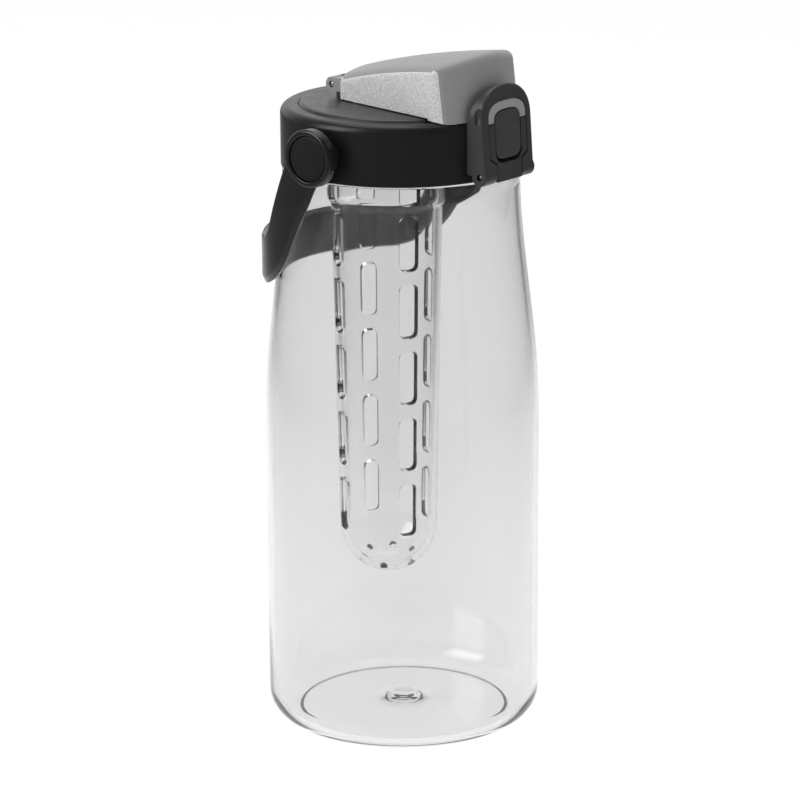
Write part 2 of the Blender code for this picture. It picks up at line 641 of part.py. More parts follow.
def cap_seat():
    """What the closed cap stands over: the deck and the collar's rounded top, with their clearance."""
    outline = [(0.0, DECK_TOP_Z + CAP_LIFT), (DECK_RADIUS + CAP_LIFT, DECK_TOP_Z + CAP_LIFT),
               (DECK_RADIUS + CAP_LIFT, COLLAR_TOP_Z + CAP_LIFT * 1.5)]
    outline += arc((COLLAR_RADIUS - COLLAR_ROUND, COLLAR_TOP_Z - COLLAR_ROUND), COLLAR_ROUND + CAP_LIFT, 90, 0, 6)
    outline += [(0.0, COLLAR_TOP_Z - COLLAR_ROUND)]
    return turned("cap_seat", outline, None)


def make_cap():
    """A domed sheet over the plan outline, its rim drawn down to the skirt, then given its wall."""
    across, along = 8, 8
    bm = bmesh.new()
    bmesh.ops.create_grid(bm, x_segments=across, y_segments=along, size=1.0)
    corner_y = -math.sqrt(CAP_FRONT_RADIUS ** 2 - CAP_CORNER_HALF ** 2)
    for vert in bm.verts:
        u, v = vert.co.x, (1.0 - vert.co.y) / 2.0
        half = CAP_REAR_HALF + (CAP_CORNER_HALF - CAP_REAR_HALF) * v
        x = u * half
        front_y = -math.sqrt(CAP_FRONT_RADIUS ** 2 - (u * CAP_CORNER_HALF) ** 2) + CAP_FRONT_LEAN
        y = CAP_REAR_Y + (front_y - CAP_REAR_Y) * v
        vert.co = (x, y, cap_crest(y) - CAP_CROWN * u * u)
    rim = [edge for edge in bm.edges if edge.is_boundary]
    skirt = bmesh.ops.extrude_edge_only(bm, edges=rim)["geom"]
    low = CAP_LIP_Z
    for vert in (part for part in skirt if isinstance(part, bmesh.types.BMVert)):
        vert.co.z = low
        if vert.co.y < corner_y + CAP_FRONT_LEAN + 0.5 * MM:
            vert.co.y -= CAP_FRONT_LEAN
    bmesh.ops.recalc_face_normals(bm, faces=bm.faces)
    if sum(face.normal.z for face in bm.faces) < 0:
        bmesh.ops.reverse_faces(bm, faces=bm.faces)
    cap = object_from("flip_cap", bm, GREY)
    bevel(cap, CAP_ROUND, segments=2, angle=45.0)
    wall = cap.modifiers.new("Wall", "SOLIDIFY")
    wall.thickness = CAP_WALL
    wall.offset = -1.0
    wall.use_even_offset = True
    for side in (-1, 1):
        inner, outer = sorted((side * (DECK_LUG_OUT + GAP), side * CAP_KNUCKLE_OUT))
        join(cap, cylinder("cap_knuckle", KNUCKLE_RADIUS, (inner, HINGE_Y, HINGE_Z), (outer, HINGE_Y, HINGE_Z)))
        join(cap, box("cap_knuckle_arm", (inner, CAP_REAR_Y - CAP_WALL * 0.6, HINGE_Z - KNUCKLE_RADIUS * 0.9),
                      (outer, HINGE_Y, HINGE_Z + KNUCKLE_RADIUS * 0.9)))
    cut(cap, cylinder("cap_hinge_hole", HINGE_PIN_RADIUS + RUN, (-CAP_KNUCKLE_OUT - 1 * MM, HINGE_Y, HINGE_Z),
                      (CAP_KNUCKLE_OUT + 1 * MM, HINGE_Y, HINGE_Z)))
    cut(cap, cap_seat())
    cut(cap, box("cap_lug_slot", (-DECK_LUG_OUT - GAP, CAP_REAR_Y - CAP_WALL * 1.4, low - 1 * MM),
                 (DECK_LUG_OUT + GAP, CAP_REAR_Y + 3 * MM, HINGE_Z + KNUCKLE_RADIUS + GAP)))
    seal_top = SPOUT_TOP_Z + GAP + SEAL_FLANGE_THICK
    boss = cylinder("seal_boss", SEAL_BOSS_RADIUS, (0, SPOUT_Y, seal_top + GAP),
                    (0, SPOUT_Y, cap_crest(SPOUT_Y) - CAP_WALL * 0.6))
    return join(cap, boss)


def make_seal():
    plug = SPOUT_RADIUS - SPOUT_WALL - SEAL_PLUG_CLEAR
    low = SPOUT_TOP_Z - SEAL_PLUG_DEEP
    top = SPOUT_TOP_Z + GAP + SEAL_FLANGE_THICK
    outline = [(0.0, top), (SPOUT_RADIUS - 0.5 * MM, top), (SPOUT_RADIUS - 0.5 * MM, SPOUT_TOP_Z + GAP),
               (plug, SPOUT_TOP_Z + GAP), (plug, low), (0.0, low)]
    return turned("spout_seal", outline, SILICONE, steps=24, centre=(0.0, SPOUT_Y))


def make_hinge_pin():
    return cylinder("hinge_pin", HINGE_PIN_RADIUS, (-CAP_KNUCKLE_OUT + GAP, HINGE_Y, HINGE_Z),
                    (CAP_KNUCKLE_OUT - GAP, HINGE_Y, HINGE_Z), STEEL)


def make_cap_spring():
    """Five turns round the pin between the lugs; one leg lies on the deck, one under the cap's roof."""
    room = DECK_LUG_IN - SPRING_WIRE - GAP
    points = []
    reach = SPRING_LEG
    low_z = HINGE_Z - SPRING_COIL
    points.append((-room, HINGE_Y - reach, low_z - 1.2 * MM))
    count = SPRING_TURNS * 10
    for i in range(count + 1):
        t = 2 * math.pi * SPRING_TURNS * i / count
        x = -room + 2 * room * i / count
        points.append((x, HINGE_Y + SPRING_COIL * math.sin(t), HINGE_Z - SPRING_COIL * math.cos(t)))
    points.append((room, HINGE_Y - reach, low_z + 2.4 * MM))
    return tube("cap_spring", points, SPRING_WIRE, STEEL, sides=1)


# Latch: housing, bail, inlay, button

def latch_front(z):
    """y of the latch's front face at a height."""
    return -LATCH_FRONT + LATCH_LEAN * (z - COLLAR_LOW_Z)


def arch(half, low_z, top_z, curve_tall, count=12, square=2.0):
    """An arched outline: straight sides from low_z, then half an ellipse, squarer above 2."""
    spring = top_z - curve_tall
    points = [(-half, low_z)]
    for i in range(count + 1):
        t = math.pi * i / count
        points.append((-half * squared(math.cos(t), square), spring + curve_tall * squared(math.sin(t), square)))
    points.append((half, low_z))
    return points


def lean_front(obj, back_y, proud=0.0):
    """Stand a plate's front on the latch's leaning front face and its back at one depth."""
    for vert in obj.data.vertices:
        if vert.co.y < 0:
            vert.co.y = latch_front(vert.co.z) - proud
        else:
            vert.co.y = back_y
    return obj


def round_back(obj, radius):
    """Hollow a piece's back to the collar's round."""
    tool = cylinder(obj.name + "_back", radius, (0, 0, COLLAR_LOW_Z - 20 * MM), (0, 0, BAIL_TOP_Z + 20 * MM), steps=96)
    return cut(obj, tool)


def thumb_scoop(side):
    bm = bmesh.new()
    bmesh.ops.create_uvsphere(bm, u_segments=12, v_segments=8, radius=1.0)
    middle_y = latch_front(SCOOP_Z) + SCOOP_SIZE[1] * 1.1
    stretch = Matrix.Diagonal((*SCOOP_SIZE, 1.0))
    move = Matrix.Translation((side * BAIL_HALF, middle_y, SCOOP_Z))
    bmesh.ops.transform(bm, matrix=move @ stretch, verts=bm.verts)
    return object_from("thumb_scoop", bm, None, CUTTERS)


def leg_flare(lower):
    """The line from the foot's inner face out to the leg's, as (x, z) points, lowered or raised."""
    low_z = FOOT_PIN_Z + FOOT_RADIUS + GAP + lower
    points = []
    for i in range(7):
        share = i / 6
        points.append((FOOT_INNER + (BAIL_INNER - FOOT_INNER) * ease(share), low_z + FOOT_FLARE * share))
    return points


def make_bail():
    outer = arch(BAIL_HALF, FOOT_PIN_Z, BAIL_TOP_Z, BAIL_ARCH_TALL, 14, BAIL_SQUARE)
    bail = lean_front(plate("lock_bail", outer, 10 * MM, BLACK), -LATCH_BACK + 4 * MM)
    bevel(bail, 1.0 * MM, 2, 50.0)
    opening_top = INLAY_TOP_Z + GAP
    opening = plate("bail_opening", arch(BAIL_INNER, FOOT_PIN_Z - 10 * MM, opening_top, OPENING_ARCH_TALL,
                                         square=OPENING_SQUARE), CUT_THROUGH, None)
    opening.location.y = -LATCH_FRONT
    cut(bail, opening)
    round_back(bail, LATCH_BACK)
    slope_low = BAIL_TOP_Z - BAIL_ARCH_TALL
    cut(bail, cylinder("bail_back_slope", LATCH_BACK, (0, 0, slope_low), (0, 0, BAIL_TOP_Z + 1 * MM), steps=96,
                       radius_end=LATCH_BACK + BAIL_THIN))
    for side in (-1, 1):
        cut(bail, thumb_scoop(side))
        foot = cylinder("bail_foot", FOOT_RADIUS, (side * FOOT_INNER, FOOT_PIN_Y, FOOT_PIN_Z),
                        (side * (BAIL_HALF - 0.1 * MM), FOOT_PIN_Y, FOOT_PIN_Z), steps=24)
        join(bail, foot)
        toe = [(x * side, z) for x, z in leg_flare(-GAP)]
        toe += [(side * (BAIL_INNER + 0.8 * MM), leg_flare(-GAP)[-1][1]), (side * (BAIL_INNER + 0.8 * MM), FOOT_PIN_Z),
                (side * FOOT_INNER, FOOT_PIN_Z)]
        join(bail, lean_front(plate("bail_toe", toe, 10 * MM, None), FOOT_PIN_Y))
    cut(bail, cylinder("bail_pin_hole", BAIL_PIN_RADIUS + RUN, (-BAIL_HALF - 1 * MM, FOOT_PIN_Y, FOOT_PIN_Z),
                       (BAIL_HALF + 1 * MM, FOOT_PIN_Y, FOOT_PIN_Z)))
    return bail


def make_inlay():
    outline = arch(INLAY_OUTER, INLAY_LOW_Z, INLAY_TOP_Z, OPENING_ARCH_TALL, square=OPENING_SQUARE)
    back = latch_front(INLAY_TOP_Z) + INLAY_DEEP
    inlay = lean_front(plate("bail_inlay", outline, 10 * MM, GREY), back)
    inner = plate("inlay_opening", arch(INLAY_INNER, INLAY_LOW_Z - 5 * MM, INLAY_TOP_Z - INLAY_WIDE,
                                        INLAY_INNER * 0.62, square=OPENING_SQUARE), CUT_THROUGH, None)
    inner.location.y = -LATCH_FRONT
    return cut(inlay, inner)


def make_housing():
    """Back plate, the two cheeks beside the button, and the block between the bail's feet."""
    top = INLAY_LOW_Z - GAP
    block_half = FOOT_INNER - GAP
    flare = [(x - GAP, z) for x, z in leg_flare(GAP)]
    frame = [(-x, z) for x, z in flare] + [(-INLAY_OUTER, top), (INLAY_OUTER, top)] + flare[::-1]
    housing = lean_front(plate("latch_housing", frame, 10 * MM, DARK), -LATCH_BACK + 4 * MM)
    block_low, block_top = COLLAR_LOW_Z + GAP, BUTTON_LOW_Z + WELL_ROUND
    block = [(-block_half, block_low), (-block_half, block_top), (block_half, block_top), (block_half, block_low)]
    join(housing, lean_front(plate("latch_block", block, 10 * MM, None), -LATCH_BACK + 4 * MM, 0.1 * MM))
    floor = BUTTON_LOW_Z - BUTTON_GAP_BELOW
    corner = (INLAY_INNER - WELL_ROUND, floor + WELL_ROUND)
    outline = [(-INLAY_INNER, top + 5 * MM), (INLAY_INNER, top + 5 * MM)]
    outline += arc(corner, WELL_ROUND, 0, -90, 4)
    outline += arc((-corner[0], corner[1]), WELL_ROUND, -90, -180, 4)
    well = plate("button_well", outline, LATCH_FRONT - LATCH_BACK - HOUSING_PLATE + 5 * MM, None)
    well.location.y = -(LATCH_FRONT + LATCH_BACK + HOUSING_PLATE + 5 * MM) / 2
    cut(housing, well)
    round_back(housing, LATCH_BACK)
    cut(housing, cylinder("housing_bail_pin_hole", BAIL_PIN_RADIUS + RUN,
                          (-BAIL_HALF, FOOT_PIN_Y, FOOT_PIN_Z), (BAIL_HALF, FOOT_PIN_Y, FOOT_PIN_Z)))
    cut(housing, cylinder("housing_button_pin_hole", BUTTON_PIN_RADIUS + RUN,
                          (-INLAY_OUTER - 1 * MM, BUTTON_PIN_Y, BUTTON_PIN_Z),
                          (INLAY_OUTER + 1 * MM, BUTTON_PIN_Y, BUTTON_PIN_Z)))
    return housing


def make_button():
    corner = (BUTTON_HALF - BUTTON_ROUND, BUTTON_LOW_Z + BUTTON_ROUND)
    outline = arch(BUTTON_HALF, corner[1], BUTTON_TOP_Z, BUTTON_HALF * 0.62, 10, square=OPENING_SQUARE)
    outline += arc(corner, BUTTON_ROUND, -15, -90, 3)
    outline += arc((-corner[0], corner[1]), BUTTON_ROUND, -90, -165, 3)
    back = BUTTON_BACK_Y
    button = lean_front(plate("release_button", outline, 10 * MM, DARK), back, BUTTON_PROUD)
    bevel(button, 0.5 * MM, 2, 50.0)
    hub = box("button_hub", (-BUTTON_HALF + 1 * MM, back - 0.5 * MM, BUTTON_PIN_Z - 2 * MM),
              (BUTTON_HALF - 1 * MM, BUTTON_PIN_Y + BUTTON_PIN_RADIUS + RUN + 0.6 * MM, BUTTON_PIN_Z + 2 * MM))
    join(button, hub)
    stem = box("hook_stem", (-HOOK_HALF, back - 0.5 * MM, BUTTON_PIN_Z + 1 * MM),
               (HOOK_HALF, back + HOOK_THICK, BUTTON_TOP_Z - 0.3 * MM))
    join(button, stem)
    hinge_reach = math.hypot(CAP_FRONT_RADIUS + HINGE_Y, HINGE_Z - CAP_LIP_Z)
    sweep = hinge_reach - HINGE_Y
    nose = box("hook_nose", (-HOOK_HALF + 0.1 * MM, back, BUTTON_TOP_Z - 0.4 * MM - HOOK_THICK),
               (HOOK_HALF - 0.1 * MM, -sweep - HOOK_TIP_CLEAR, BUTTON_TOP_Z - 0.4 * MM))
    join(button, nose)
    pocket_radius = COMPRESSION_COIL + COMPRESSION_WIRE + GAP
    cut(button, cylinder("spring_pocket", pocket_radius, (0, back - SPRING_POCKET, COMPRESSION_Z),
                         (0, back + 1 * MM, COMPRESSION_Z)))
    return cut(button, cylinder("button_pin_hole", BUTTON_PIN_RADIUS + RUN,
                                (-BUTTON_HALF - 1 * MM, BUTTON_PIN_Y, BUTTON_PIN_Z),
                                (BUTTON_HALF + 1 * MM, BUTTON_PIN_Y, BUTTON_PIN_Z)))


def make_latch_pins():
    cylinder("bail_pin", BAIL_PIN_RADIUS, (-BAIL_HALF + 0.5 * MM, FOOT_PIN_Y, FOOT_PIN_Z),
             (BAIL_HALF - 0.5 * MM, FOOT_PIN_Y, FOOT_PIN_Z), STEEL)
    cylinder("button_pin", BUTTON_PIN_RADIUS, (-INLAY_OUTER + GAP, BUTTON_PIN_Y, BUTTON_PIN_Z),
             (INLAY_OUTER - GAP, BUTTON_PIN_Y, BUTTON_PIN_Z), STEEL, steps=12)


def make_button_spring():
    back = BUTTON_BACK_Y - SPRING_POCKET + GAP + COMPRESSION_WIRE
    count = COMPRESSION_TURNS * 12
    points = []
    for i in range(count + 1):
        t = 2 * math.pi * COMPRESSION_TURNS * i / count
        y = back + (COMPRESSION_LONG - 2 * COMPRESSION_WIRE) * i / count
        points.append((COMPRESSION_COIL * math.cos(t), y, COMPRESSION_Z + COMPRESSION_COIL * math.sin(t)))
    return tube("button_spring", points, COMPRESSION_WIRE, STEEL, sides=1)


# Carry handle

def strap_line():
    """Middle line of the strap from the pivot to the back, unrolled: (run round the bottle, z)."""
    fall = HANDLE_PIVOT_Z - STRAP_BACK_Z
    back_run = math.pi / 2 * STRAP_RADIUS
    slope = math.atan2(fall, STRAP_ARM_RUN - STRAP_ARM_START)
    bend_start = (STRAP_ARM_RUN - STRAP_BEND * math.cos(slope), STRAP_BACK_Z + STRAP_BEND * math.sin(slope))
    radius = STRAP_BEND / math.tan(slope / 2)
    centre = (STRAP_ARM_RUN + STRAP_BEND, STRAP_BACK_Z + radius)
    line = []
    for i in range(4):
        share = i / 4
        line.append((STRAP_ARM_START + (bend_start[0] - STRAP_ARM_START) * share,
                     HANDLE_PIVOT_Z + (bend_start[1] - HANDLE_PIVOT_Z) * share))
    start = 270 - math.degrees(slope)
    line += arc(centre, radius, start, 270, 5)
    last = line[-1][0]
    rest = STRAP_STEPS - len(line)
    line += [(last + (back_run - last) * (i + 1) / rest, STRAP_BACK_Z) for i in range(rest)]
    return line


def strap_rows():
    """Each row of the strip: run, z, the unit direction across it, its width and its fill."""
    line = strap_line()
    rows = []
    for i, (run, z) in enumerate(line):
        before = line[max(i - 1, 0)]
        after = line[min(i + 1, len(line) - 1)]
        along = Vector((after[0] - before[0], after[1] - before[1])).normalized()
        way = (run - line[2][0]) / (line[-1][0] - line[2][0])
        wide = STRAP_ARM_WIDE + (STRAP_BACK_WIDE - STRAP_ARM_WIDE) * ease(way)
        bend = min(max((run - line[2][0]) / (STRAP_ARM_RUN * 1.7), 0.0), 1.0)
        fill = STRAP_FILL * math.sin(math.pi * bend) ** 2
        rows.append((run, z, Vector((-along.y, along.x)), wide, fill))
    return rows


def make_handle():
    """A strip round the back of the bottle, given its thickness inward, with an eye at each end."""
    rows = strap_rows()
    count = len(rows)
    bm = bmesh.new()
    grid = []
    for index in range(2 * count - 1):
        mirrored = index >= count
        run, z, across, wide, fill = rows[2 * count - 2 - index if mirrored else index]
        row = []
        for share in (-0.5, 0.0, 0.5):
            offset = wide * share + fill * (share + 0.5)
            at_run = run + across.x * offset
            at_z = z + across.y * offset
            turn = at_run / STRAP_RADIUS
            x = -STRAP_RADIUS * math.cos(turn)
            if mirrored:
                x = -x
            row.append(bm.verts.new((x, STRAP_RADIUS * math.sin(turn), at_z)))
        grid.append(row)
    for row, following in zip(grid, grid[1:]):
        for j in range(2):
            bm.faces.new((row[j], row[j + 1], following[j + 1], following[j]))
    bmesh.ops.recalc_face_normals(bm, faces=bm.faces)
    facing = sum(face.normal.dot(Vector((face.calc_center_median().x, face.calc_center_median().y, 0)))
                 for face in bm.faces)
    if facing < 0:
        bmesh.ops.reverse_faces(bm, faces=bm.faces)
    handle = object_from("carry_handle", bm, BLACK)
    thickness = handle.vertex_groups.new(name="thickness")
    for vert in handle.data.vertices:
        up_arm = ease((vert.co.z - STRAP_BACK_Z - STRAP_BACK_WIDE / 2) / (16 * MM))
        thick = STRAP_BACK_THICK + (STRAP_THICK - STRAP_BACK_THICK) * up_arm
        thickness.add([vert.index], thick / STRAP_THICK, "REPLACE")
    wall = handle.modifiers.new("Thickness", "SOLIDIFY")
    wall.thickness = STRAP_THICK
    wall.vertex_group = thickness.name
    wall.offset = -1.0
    bevel(handle, 0.9 * MM, 1, 50.0)
    inner_face = EYE_FACE - EYE_THICK
    for side in (-1, 1):
        eye = cylinder("handle_eye", EYE_RADIUS, (side * inner_face, 0, HANDLE_PIVOT_Z),
                       (side * EYE_FACE, 0, HANDLE_PIVOT_Z), steps=32)
        bevel(eye, 0.9 * MM, 1, 50.0)
        join(handle, eye)
    for side in (-1, 1):
        cut(handle, cylinder("eye_recess", COVER_RADIUS + RUN, (side * (inner_face + EYE_WEB), 0, HANDLE_PIVOT_Z),
                             (side * (EYE_FACE + 5 * MM), 0, HANDLE_PIVOT_Z), steps=32))
        cut(handle, cylinder("eye_hole", SCREW_RADIUS + RUN, (side * (inner_face - 2 * MM), 0, HANDLE_PIVOT_Z),
                             (side * (EYE_FACE + 5 * MM), 0, HANDLE_PIVOT_Z)))
        cut(handle, cylinder("eye_inner_face", EYE_RADIUS + 2 * MM, (side * (inner_face - 8 * MM), 0, HANDLE_PIVOT_Z),
                             (side * inner_face, 0, HANDLE_PIVOT_Z), steps=32))
    return handle


def make_pivots():
    inner_face = EYE_FACE - EYE_THICK
    head = inner_face + EYE_WEB + GAP
    for side, label in ((-1, "left"), (1, "right")):
        shank = cylinder("handle_screw_" + label, SCREW_RADIUS,
                         (side * (COLLAR_RADIUS + BOSS_REACH - SCREW_BITE), 0, HANDLE_PIVOT_Z),
                         (side * (head + SCREW_HEAD_THICK / 2), 0, HANDLE_PIVOT_Z), STEEL)
        join(shank, cylinder("screw_head_" + label, SCREW_HEAD_RADIUS, (side * head, 0, HANDLE_PIVOT_Z),
                             (side * (head + SCREW_HEAD_THICK), 0, HANDLE_PIVOT_Z)))
        low = EYE_FACE - 0.3 * MM - COVER_THICK
        cover = cylinder("pivot_cover_" + label, COVER_RADIUS, (side * low, 0, HANDLE_PIVOT_Z),
                         (side * (low + COVER_THICK), 0, HANDLE_PIVOT_Z), BLACK, steps=32)
        bevel(cover, 0.3 * MM, 1, 50.0)


make_bottle()
make_gasket()
make_collar()
make_deck()
make_o_ring()
make_infuser()
make_cap()
make_seal()
make_hinge_pin()
make_cap_spring()
make_housing()
make_bail()
make_inlay()
make_button()
make_latch_pins()
make_button_spring()
make_handle()
make_pivots()
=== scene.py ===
import math

import bpy
from mathutils import Matrix, Vector


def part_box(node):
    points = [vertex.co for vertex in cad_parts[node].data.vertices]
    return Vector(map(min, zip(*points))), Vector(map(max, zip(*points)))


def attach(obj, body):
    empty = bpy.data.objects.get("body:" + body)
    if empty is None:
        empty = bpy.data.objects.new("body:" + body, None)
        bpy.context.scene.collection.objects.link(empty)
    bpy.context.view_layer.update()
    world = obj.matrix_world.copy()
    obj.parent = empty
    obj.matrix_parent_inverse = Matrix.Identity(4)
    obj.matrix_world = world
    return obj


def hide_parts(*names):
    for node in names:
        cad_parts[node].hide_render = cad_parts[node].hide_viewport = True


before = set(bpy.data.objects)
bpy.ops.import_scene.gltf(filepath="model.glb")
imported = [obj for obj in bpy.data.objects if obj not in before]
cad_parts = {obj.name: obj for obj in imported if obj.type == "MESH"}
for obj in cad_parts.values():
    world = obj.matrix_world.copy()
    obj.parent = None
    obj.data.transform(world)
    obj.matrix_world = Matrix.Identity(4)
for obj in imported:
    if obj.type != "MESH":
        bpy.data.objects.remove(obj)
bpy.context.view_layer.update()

MM = 0.001


# Camera
# A long lens a little above the lid, to the latch's left, turned by a third of a degree.
# The frame is square, and the bottle's axis stands just right of its middle.

CAMERA_AZIMUTH = math.radians(-50.5)
CAMERA_PITCH = math.radians(16.0)
CAMERA_ROLL = math.radians(-0.305)
CAMERA_AWAY = 1595.0 * MM
CAMERA_ASIDE = 1.0 * MM
CAMERA_AIM = Vector((0.0, 0.0, 138.36 * MM))
CAMERA_LENS = 169.47
CAMERA_SENSOR = 36.0
CAMERA_REACH = 50.0

camera_back = Vector((math.sin(CAMERA_AZIMUTH) * math.cos(CAMERA_PITCH),
                      -math.cos(CAMERA_AZIMUTH) * math.cos(CAMERA_PITCH), math.sin(CAMERA_PITCH)))
level_right = Vector((math.cos(CAMERA_AZIMUTH), math.sin(CAMERA_AZIMUTH), 0.0))
camera_right = math.cos(CAMERA_ROLL) * level_right + math.sin(CAMERA_ROLL) * camera_back.cross(level_right)
camera_up = camera_back.cross(camera_right)
bpy.ops.object.camera_add(location=CAMERA_AIM + camera_back * CAMERA_AWAY - camera_right * CAMERA_ASIDE)
camera = bpy.context.object
camera.name = "camera"
camera.rotation_euler = Matrix((camera_right, camera_up, camera_back)).transposed().to_euler()
camera.data.lens = CAMERA_LENS
camera.data.sensor_width = CAMERA_SENSOR
camera.data.clip_end = CAMERA_REACH
bpy.context.scene.camera = camera


# Bottle
# One blow-moulded shell of clear resin: straight wall, long waisted shoulder, threaded neck and a
# rounded heel on a foot ring. Its floor is domed and carries the round button of the moulding gate.

BODY_RADIUS = 57.9 * MM
BODY_WALL = 2.4 * MM
HEEL_RADIUS = 11.5 * MM
FLOOR_EDGE_Z = 3.2 * MM
FLOOR_DOME = 3.2 * MM
FLOOR_INSET = 1.5 * MM
FOOT_WIDE = 1.6 * MM
FOOT_ROUND = 0.6 * MM
FOOT_SLOPE = 1.6 * MM
FOOT_RECESS = 1.6 * MM
RECESS_DOME = 2.2 * MM
GATE_RADIUS = 8.2 * MM
GATE_SKIRT = 7.6 * MM
GATE_RISE = 1.4 * MM
GATE_BUTTON = ((0.0, -0.7), (2.4, -0.6), (3.9, -0.15), (5.0, 0.0), (6.2, -0.12), (7.1, -0.6))
WALL_EASE = 3.0 * MM
SHOULDER_LOW_Z = 134.0 * MM
SHOULDER_TOP_Z = 241.2 * MM
SHOULDER_TOP_RADIUS = 49.6 * MM
SHOULDER_ROUND = 0.7 * MM
NECK_RADIUS = 45.2 * MM
NECK_BORE = 43.0 * MM
NECK_FILLET = 0.8 * MM
NECK_INNER_ROUND = 2.0 * MM
NECK_INNER_RISE = 1.6 * MM
RIM_Z = 260.2 * MM
RIM_ROUND = 0.6 * MM
THREAD_PITCH = 5.0 * MM
THREAD_RIDGE = 1.2 * MM
THREAD_RISE = 7.5 * MM
SAME_SPOT = 0.000002
RESIN_TINT = (0.845, 0.849, 0.848)
RESIN_HAZE = 0.004
RESIN_WAVE = 0.9 * MM
RESIN_IOR = 1.49
RESIN_SHADOW = (0.93, 0.93, 0.93, 1.0)


def deselect():
    if bpy.context.mode != "OBJECT":
        bpy.ops.object.mode_set(mode="OBJECT")
    bpy.ops.object.select_all(action="DESELECT")


def take(piece):
    """Select one piece alone."""
    deselect()
    piece.select_set(True)
    bpy.context.view_layer.objects.active = piece


def edit(piece):
    take(piece)
    bpy.ops.object.mode_set(mode="EDIT")
    bpy.ops.mesh.select_all(action="SELECT")


def faces_out():
    """Turn the faces of the mesh in hand outward, and leave edit mode."""
    bpy.ops.mesh.select_all(action="SELECT")
    bpy.ops.mesh.normals_make_consistent(inside=False)
    bpy.ops.object.mode_set(mode="OBJECT")


def settled(name):
    """Name the shape that was just added, and put its place in its mesh."""
    piece = bpy.context.object
    piece.name = name
    bpy.ops.object.transform_apply(location=True, rotation=True, scale=True)
    return piece


def spread(low, high, count):
    """Evenly spaced values between two, both ends included."""
    return [low + (high - low) * i / count for i in range(count + 1)]


def arc(centre, radius, start, end, count):
    """Points on an arc, in degrees, both ends included."""
    turns = [math.radians(degrees) for degrees in spread(start, end, count)]
    return [(centre[0] + radius * math.cos(t), centre[1] + radius * math.sin(t)) for t in turns]


def corner(x, z, radius, start, end, count=3):
    """Points that round an outline's corner, between two angles in degrees."""
    middle = math.radians((start + end) / 2)
    centre = (x - math.copysign(radius, math.cos(middle)), z - math.copysign(radius, math.sin(middle)))
    return arc(centre, radius, start, end, count)


def laid(points, y=0.0, fill="NOTHING"):
    """A closed line laid on (x, z) points, or the face inside it, in edit mode."""
    deselect()
    bpy.ops.mesh.primitive_circle_add(vertices=len(points), fill_type=fill, location=(0, 0, 0))
    piece = bpy.context.object
    for vertex, (x, z) in zip(piece.data.vertices, points):
        vertex.co = (x, y, z)
    edit(piece)
    return piece


def turned(name, outline, steps, spot=(0.0, 0.0, 0.0), side=0):
    """A shape spun from (radius, height) points: upright, or with its top to a side, 1 right or -1 left."""
    piece = laid(outline)
    bpy.ops.mesh.spin(steps=steps, angle=2 * math.pi, center=(0, 0, 0), axis=(0, 0, 1))
    bpy.ops.mesh.select_all(action="SELECT")
    bpy.ops.mesh.remove_doubles(threshold=SAME_SPOT)
    bpy.ops.mesh.delete_loose(use_verts=False, use_edges=True, use_faces=False)
    faces_out()
    piece.location = spot
    piece.rotation_euler = (0.0, side * math.radians(90), 0.0)
    return settled(name)


def wire(name, points, radius, roundness=3, closed=False):
    """A round wire along the points, with its ends capped, as one closed mesh."""
    deselect()
    bpy.ops.curve.primitive_nurbs_path_add(location=(0, 0, 0))
    piece = bpy.context.object
    piece.name = name
    line = piece.data
    line.splines.clear()
    path = line.splines.new("POLY")
    path.points.add(len(points) - 1)
    for point, spot in zip(path.points, points):
        point.co = (*spot, 1.0)
    path.use_cyclic_u = closed
    line.bevel_depth = radius
    line.bevel_resolution = roundness
    line.use_fill_caps = True
    bpy.ops.object.convert(target="MESH")
    edit(piece)
    bpy.ops.mesh.remove_doubles(threshold=SAME_SPOT)
    faces_out()
    return piece


def helix(radius, low_z, start, end, count):
    """Points up a screw ridge between two angles in degrees."""
    points = []
    for degrees in spread(start, end, count):
        t = math.radians(degrees)
        points.append((radius * math.cos(t), radius * math.sin(t), low_z + THREAD_PITCH * degrees / 360))
    return points


def modify(piece, name, kind, **settings):
    """Put a modifier on a piece and apply it."""
    take(piece)
    step = piece.modifiers.new(name, kind)
    for setting, value in settings.items():
        setattr(step, setting, value)
    bpy.ops.object.modifier_apply(modifier=step.name)
    return piece


def combine(piece, tool, operation):
    """Cut a tool from a piece or weld it on, and use the tool up."""
    modify(piece, operation.title(), "BOOLEAN", operation=operation, solver="MANIFOLD", object=tool)
    bpy.data.objects.remove(tool, do_unlink=True)
    return piece


def cut(piece, tool):
    return combine(piece, tool, "DIFFERENCE")


def weld(piece, tool):
    return combine(piece, tool, "UNION")


def plug(tree, node, inputs):
    """Give a node its inputs: a value as it is, or a link from another node's output."""
    for name, value in inputs.items():
        if isinstance(value, bpy.types.NodeSocket):
            tree.links.new(value, node.inputs[name])
        else:
            node.inputs[name].default_value = value


def added(tree, kind, inputs, output=0, **settings):
    """Add a shader node with its settings and inputs, and return one of its outputs."""
    node = tree.nodes.new("ShaderNode" + kind)
    for setting, value in settings.items():
        setattr(node, setting, value)
    plug(tree, node, inputs)
    return node.outputs[output]


def new_material(name):
    """An empty material with its node tree, its shader and the piece's own coordinates."""
    mat = bpy.data.materials.new(name)
    mat.use_nodes = True
    tree = mat.node_tree
    return mat, tree, tree.nodes["Principled BSDF"], added(tree, "TexCoord", {}, "Object")


def noise(tree, place, scale, detail=2.0, roughness=0.5, stretch=(1.0, 1.0, 1.0)):
    spot = added(tree, "Mapping", {"Vector": place, "Scale": stretch})
    return added(tree, "TexNoise", {"Vector": spot, "Scale": scale, "Detail": detail, "Roughness": roughness})


